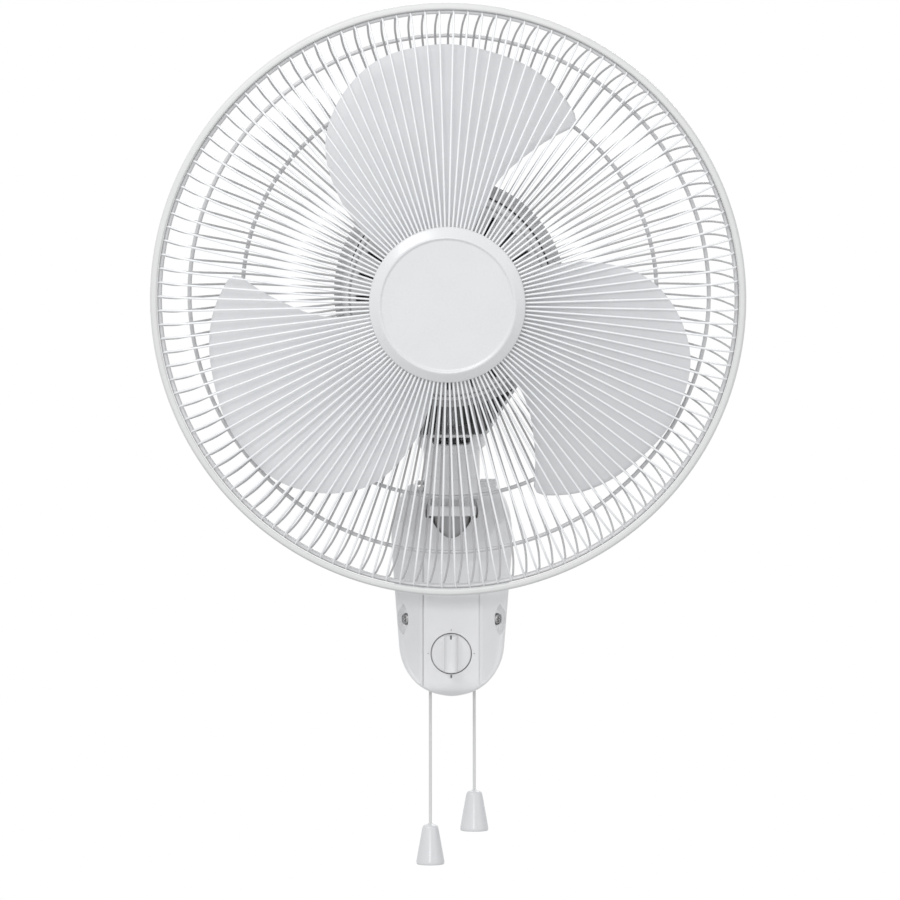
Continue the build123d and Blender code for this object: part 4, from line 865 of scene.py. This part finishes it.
cut(plate, *[rod("screw_hole", WALL_SCREW_R, -4, 4, facing_out(x, z), 32)
             for z in (-WALL_SCREW_Z, WALL_SCREW_Z) for x in (-WALL_SCREW_X, WALL_SCREW_X)])

# ---- knob, its grip and pointer, and the ticks round it ----
turned_piece(
    "dial_disc",
    [(0, 89.1), (14.7, 89.1), (15.7, 88.1), (15.75, 81.6), (0, 81.6)],
    KNOB, "knob", housing, "housing", ["speed_knob"], 96, ease=0.7,
)
GRIP_SIDES = 96
# Half width, half length and height of the grip at its levels.
GRIP_LEVELS = [(5.7, 15.3, 88.6), (5.4, 15.3, 91.5), (5.1, 15.2, 95.0), (4.5, 15.0, 97.8), (3.5, 14.7, 99.3),
               (2.0, 14.3, 100.0)]
ring = [2 * pi * k / GRIP_SIDES for k in range(GRIP_SIDES)]
grip_rows = [[(max(-half, min(half, reach * cos(a))), reach * sin(a), z) for a in ring]
             for half, reach, z in GRIP_LEVELS]
mesh_piece("dial_grip", *lofted(grip_rows), KNOB, "knob", housing, "housing", ["speed_knob"], sharp=50)
mesh_piece("dial_pointer", *bar(boxed((1.3, 3.2), 0.4), 99.0, 100.15, "z", (0, 13.4)), KNOB, "knob", mark_ink,
           "inner_plastic")
for name, x, z, size, ink in (
    ("mark_bottom", 0, -68.2, (1.1, 2.4), mark_ink),
    ("mark_top", 0, -31.4, (0.6, 1.4), faint_ink),
    ("mark_left", -18.3, -50.0, (1.2, 0.6), faint_ink),
    ("mark_right", 18.3, -50.0, (1.2, 0.6), faint_ink),
):
    mesh_piece(name, *bar(boxed(size, 0.2, 2), -87.6, -88.04, "y", (x, z)), WORLD, "base", ink,
               "inner_plastic")

for sign, side_name in SIDES:
    turned_piece(
        f"cord_collar_{side_name}",
        [(1.6, -81.6), (2.9, -81.6), (3.2, -81.2), (3.2, -77.6), (1.6, -77.6)],
        upright(sign * CORD_X, CORD_Y), "base", housing, "housing", ["cord_bushings"], 32, closed=True,
        ease=0.2,
    )

# ---- room, in metres: a plain floor, soft lamps and a white background ----
FLOOR_Z, FLOOR_HALF = -0.62, 1.3
floor_mesh = bpy.data.meshes.new("floor")
floor_corners = [(x, y, FLOOR_Z) for x, y in boxed((2 * FLOOR_HALF, 2 * FLOOR_HALF))]
floor_mesh.from_pydata(floor_corners, [], [(0, 1, 2, 3)])
floor = bpy.data.objects.new("floor", floor_mesh)
bpy.context.collection.objects.link(floor)
floor_mesh.materials.append(finish_material("floor_paint", (0.6, 0.6, 0.6), 0.8, mottle=0.01))

world = bpy.data.worlds.new("studio")
bpy.context.scene.world = world
world.use_nodes = True
world_nodes, world_links = world.node_tree.nodes, world.node_tree.links
sky = world_nodes["Background"]
sky.inputs["Color"].default_value = (0.97, 0.98, 1.0, 1)
sky.inputs["Strength"].default_value = 0.64
white = world_nodes.new("ShaderNodeBackground")
white.inputs["Color"].default_value = (1, 1, 1, 1)
white.inputs["Strength"].default_value = 1.0
rays = world_nodes.new("ShaderNodeLightPath")
mix = world_nodes.new("ShaderNodeMixShader")
seen = rays.outputs["Is Camera Ray"]
for ray in ("Is Glossy Ray", "Is Transmission Ray"):
    either = world_nodes.new("ShaderNodeMath")
    either.operation = "MAXIMUM"
    world_links.new(seen, either.inputs[0])
    world_links.new(rays.outputs[ray], either.inputs[1])
    seen = either.outputs[0]
world_links.new(seen, mix.inputs["Fac"])
world_links.new(sky.outputs["Background"], mix.inputs[1])
world_links.new(white.outputs["Background"], mix.inputs[2])
world_links.new(mix.outputs["Shader"], world_nodes["World Output"].inputs["Surface"])


def lamp(name, place, aim, size, power):
    """A soft rectangular lamp turned towards a point."""
    data = bpy.data.lights.new(name, "AREA")
    data.shape = "RECTANGLE"
    data.size, data.size_y = size
    data.energy = power
    lamp_object = bpy.data.objects.new(name, data)
    lamp_object.location = Vector(place)
    lamp_object.rotation_mode = "QUATERNION"
    lamp_object.rotation_quaternion = (Vector(aim) - Vector(place)).to_track_quat("-Z", "Y")
    bpy.context.collection.objects.link(lamp_object)


lamp("key", (-1.2, -2.0, 1.8), (0, -0.15, 0.1), (1.2, 1.2), 27)
lamp("front", (-0.15, -2.7, 0.33), (0, -0.15, 0.1), (0.35, 0.22), 10)
lamp("fill", (1.9, -1.6, 0.6), (0, -0.15, 0.1), (1.6, 1.6), 6)
lamp("back", (0.4, 1.8, 1.4), (0, -0.1, 0.1), (1.4, 1.4), 14)
bpy.context.scene.view_settings.view_transform = "Standard"
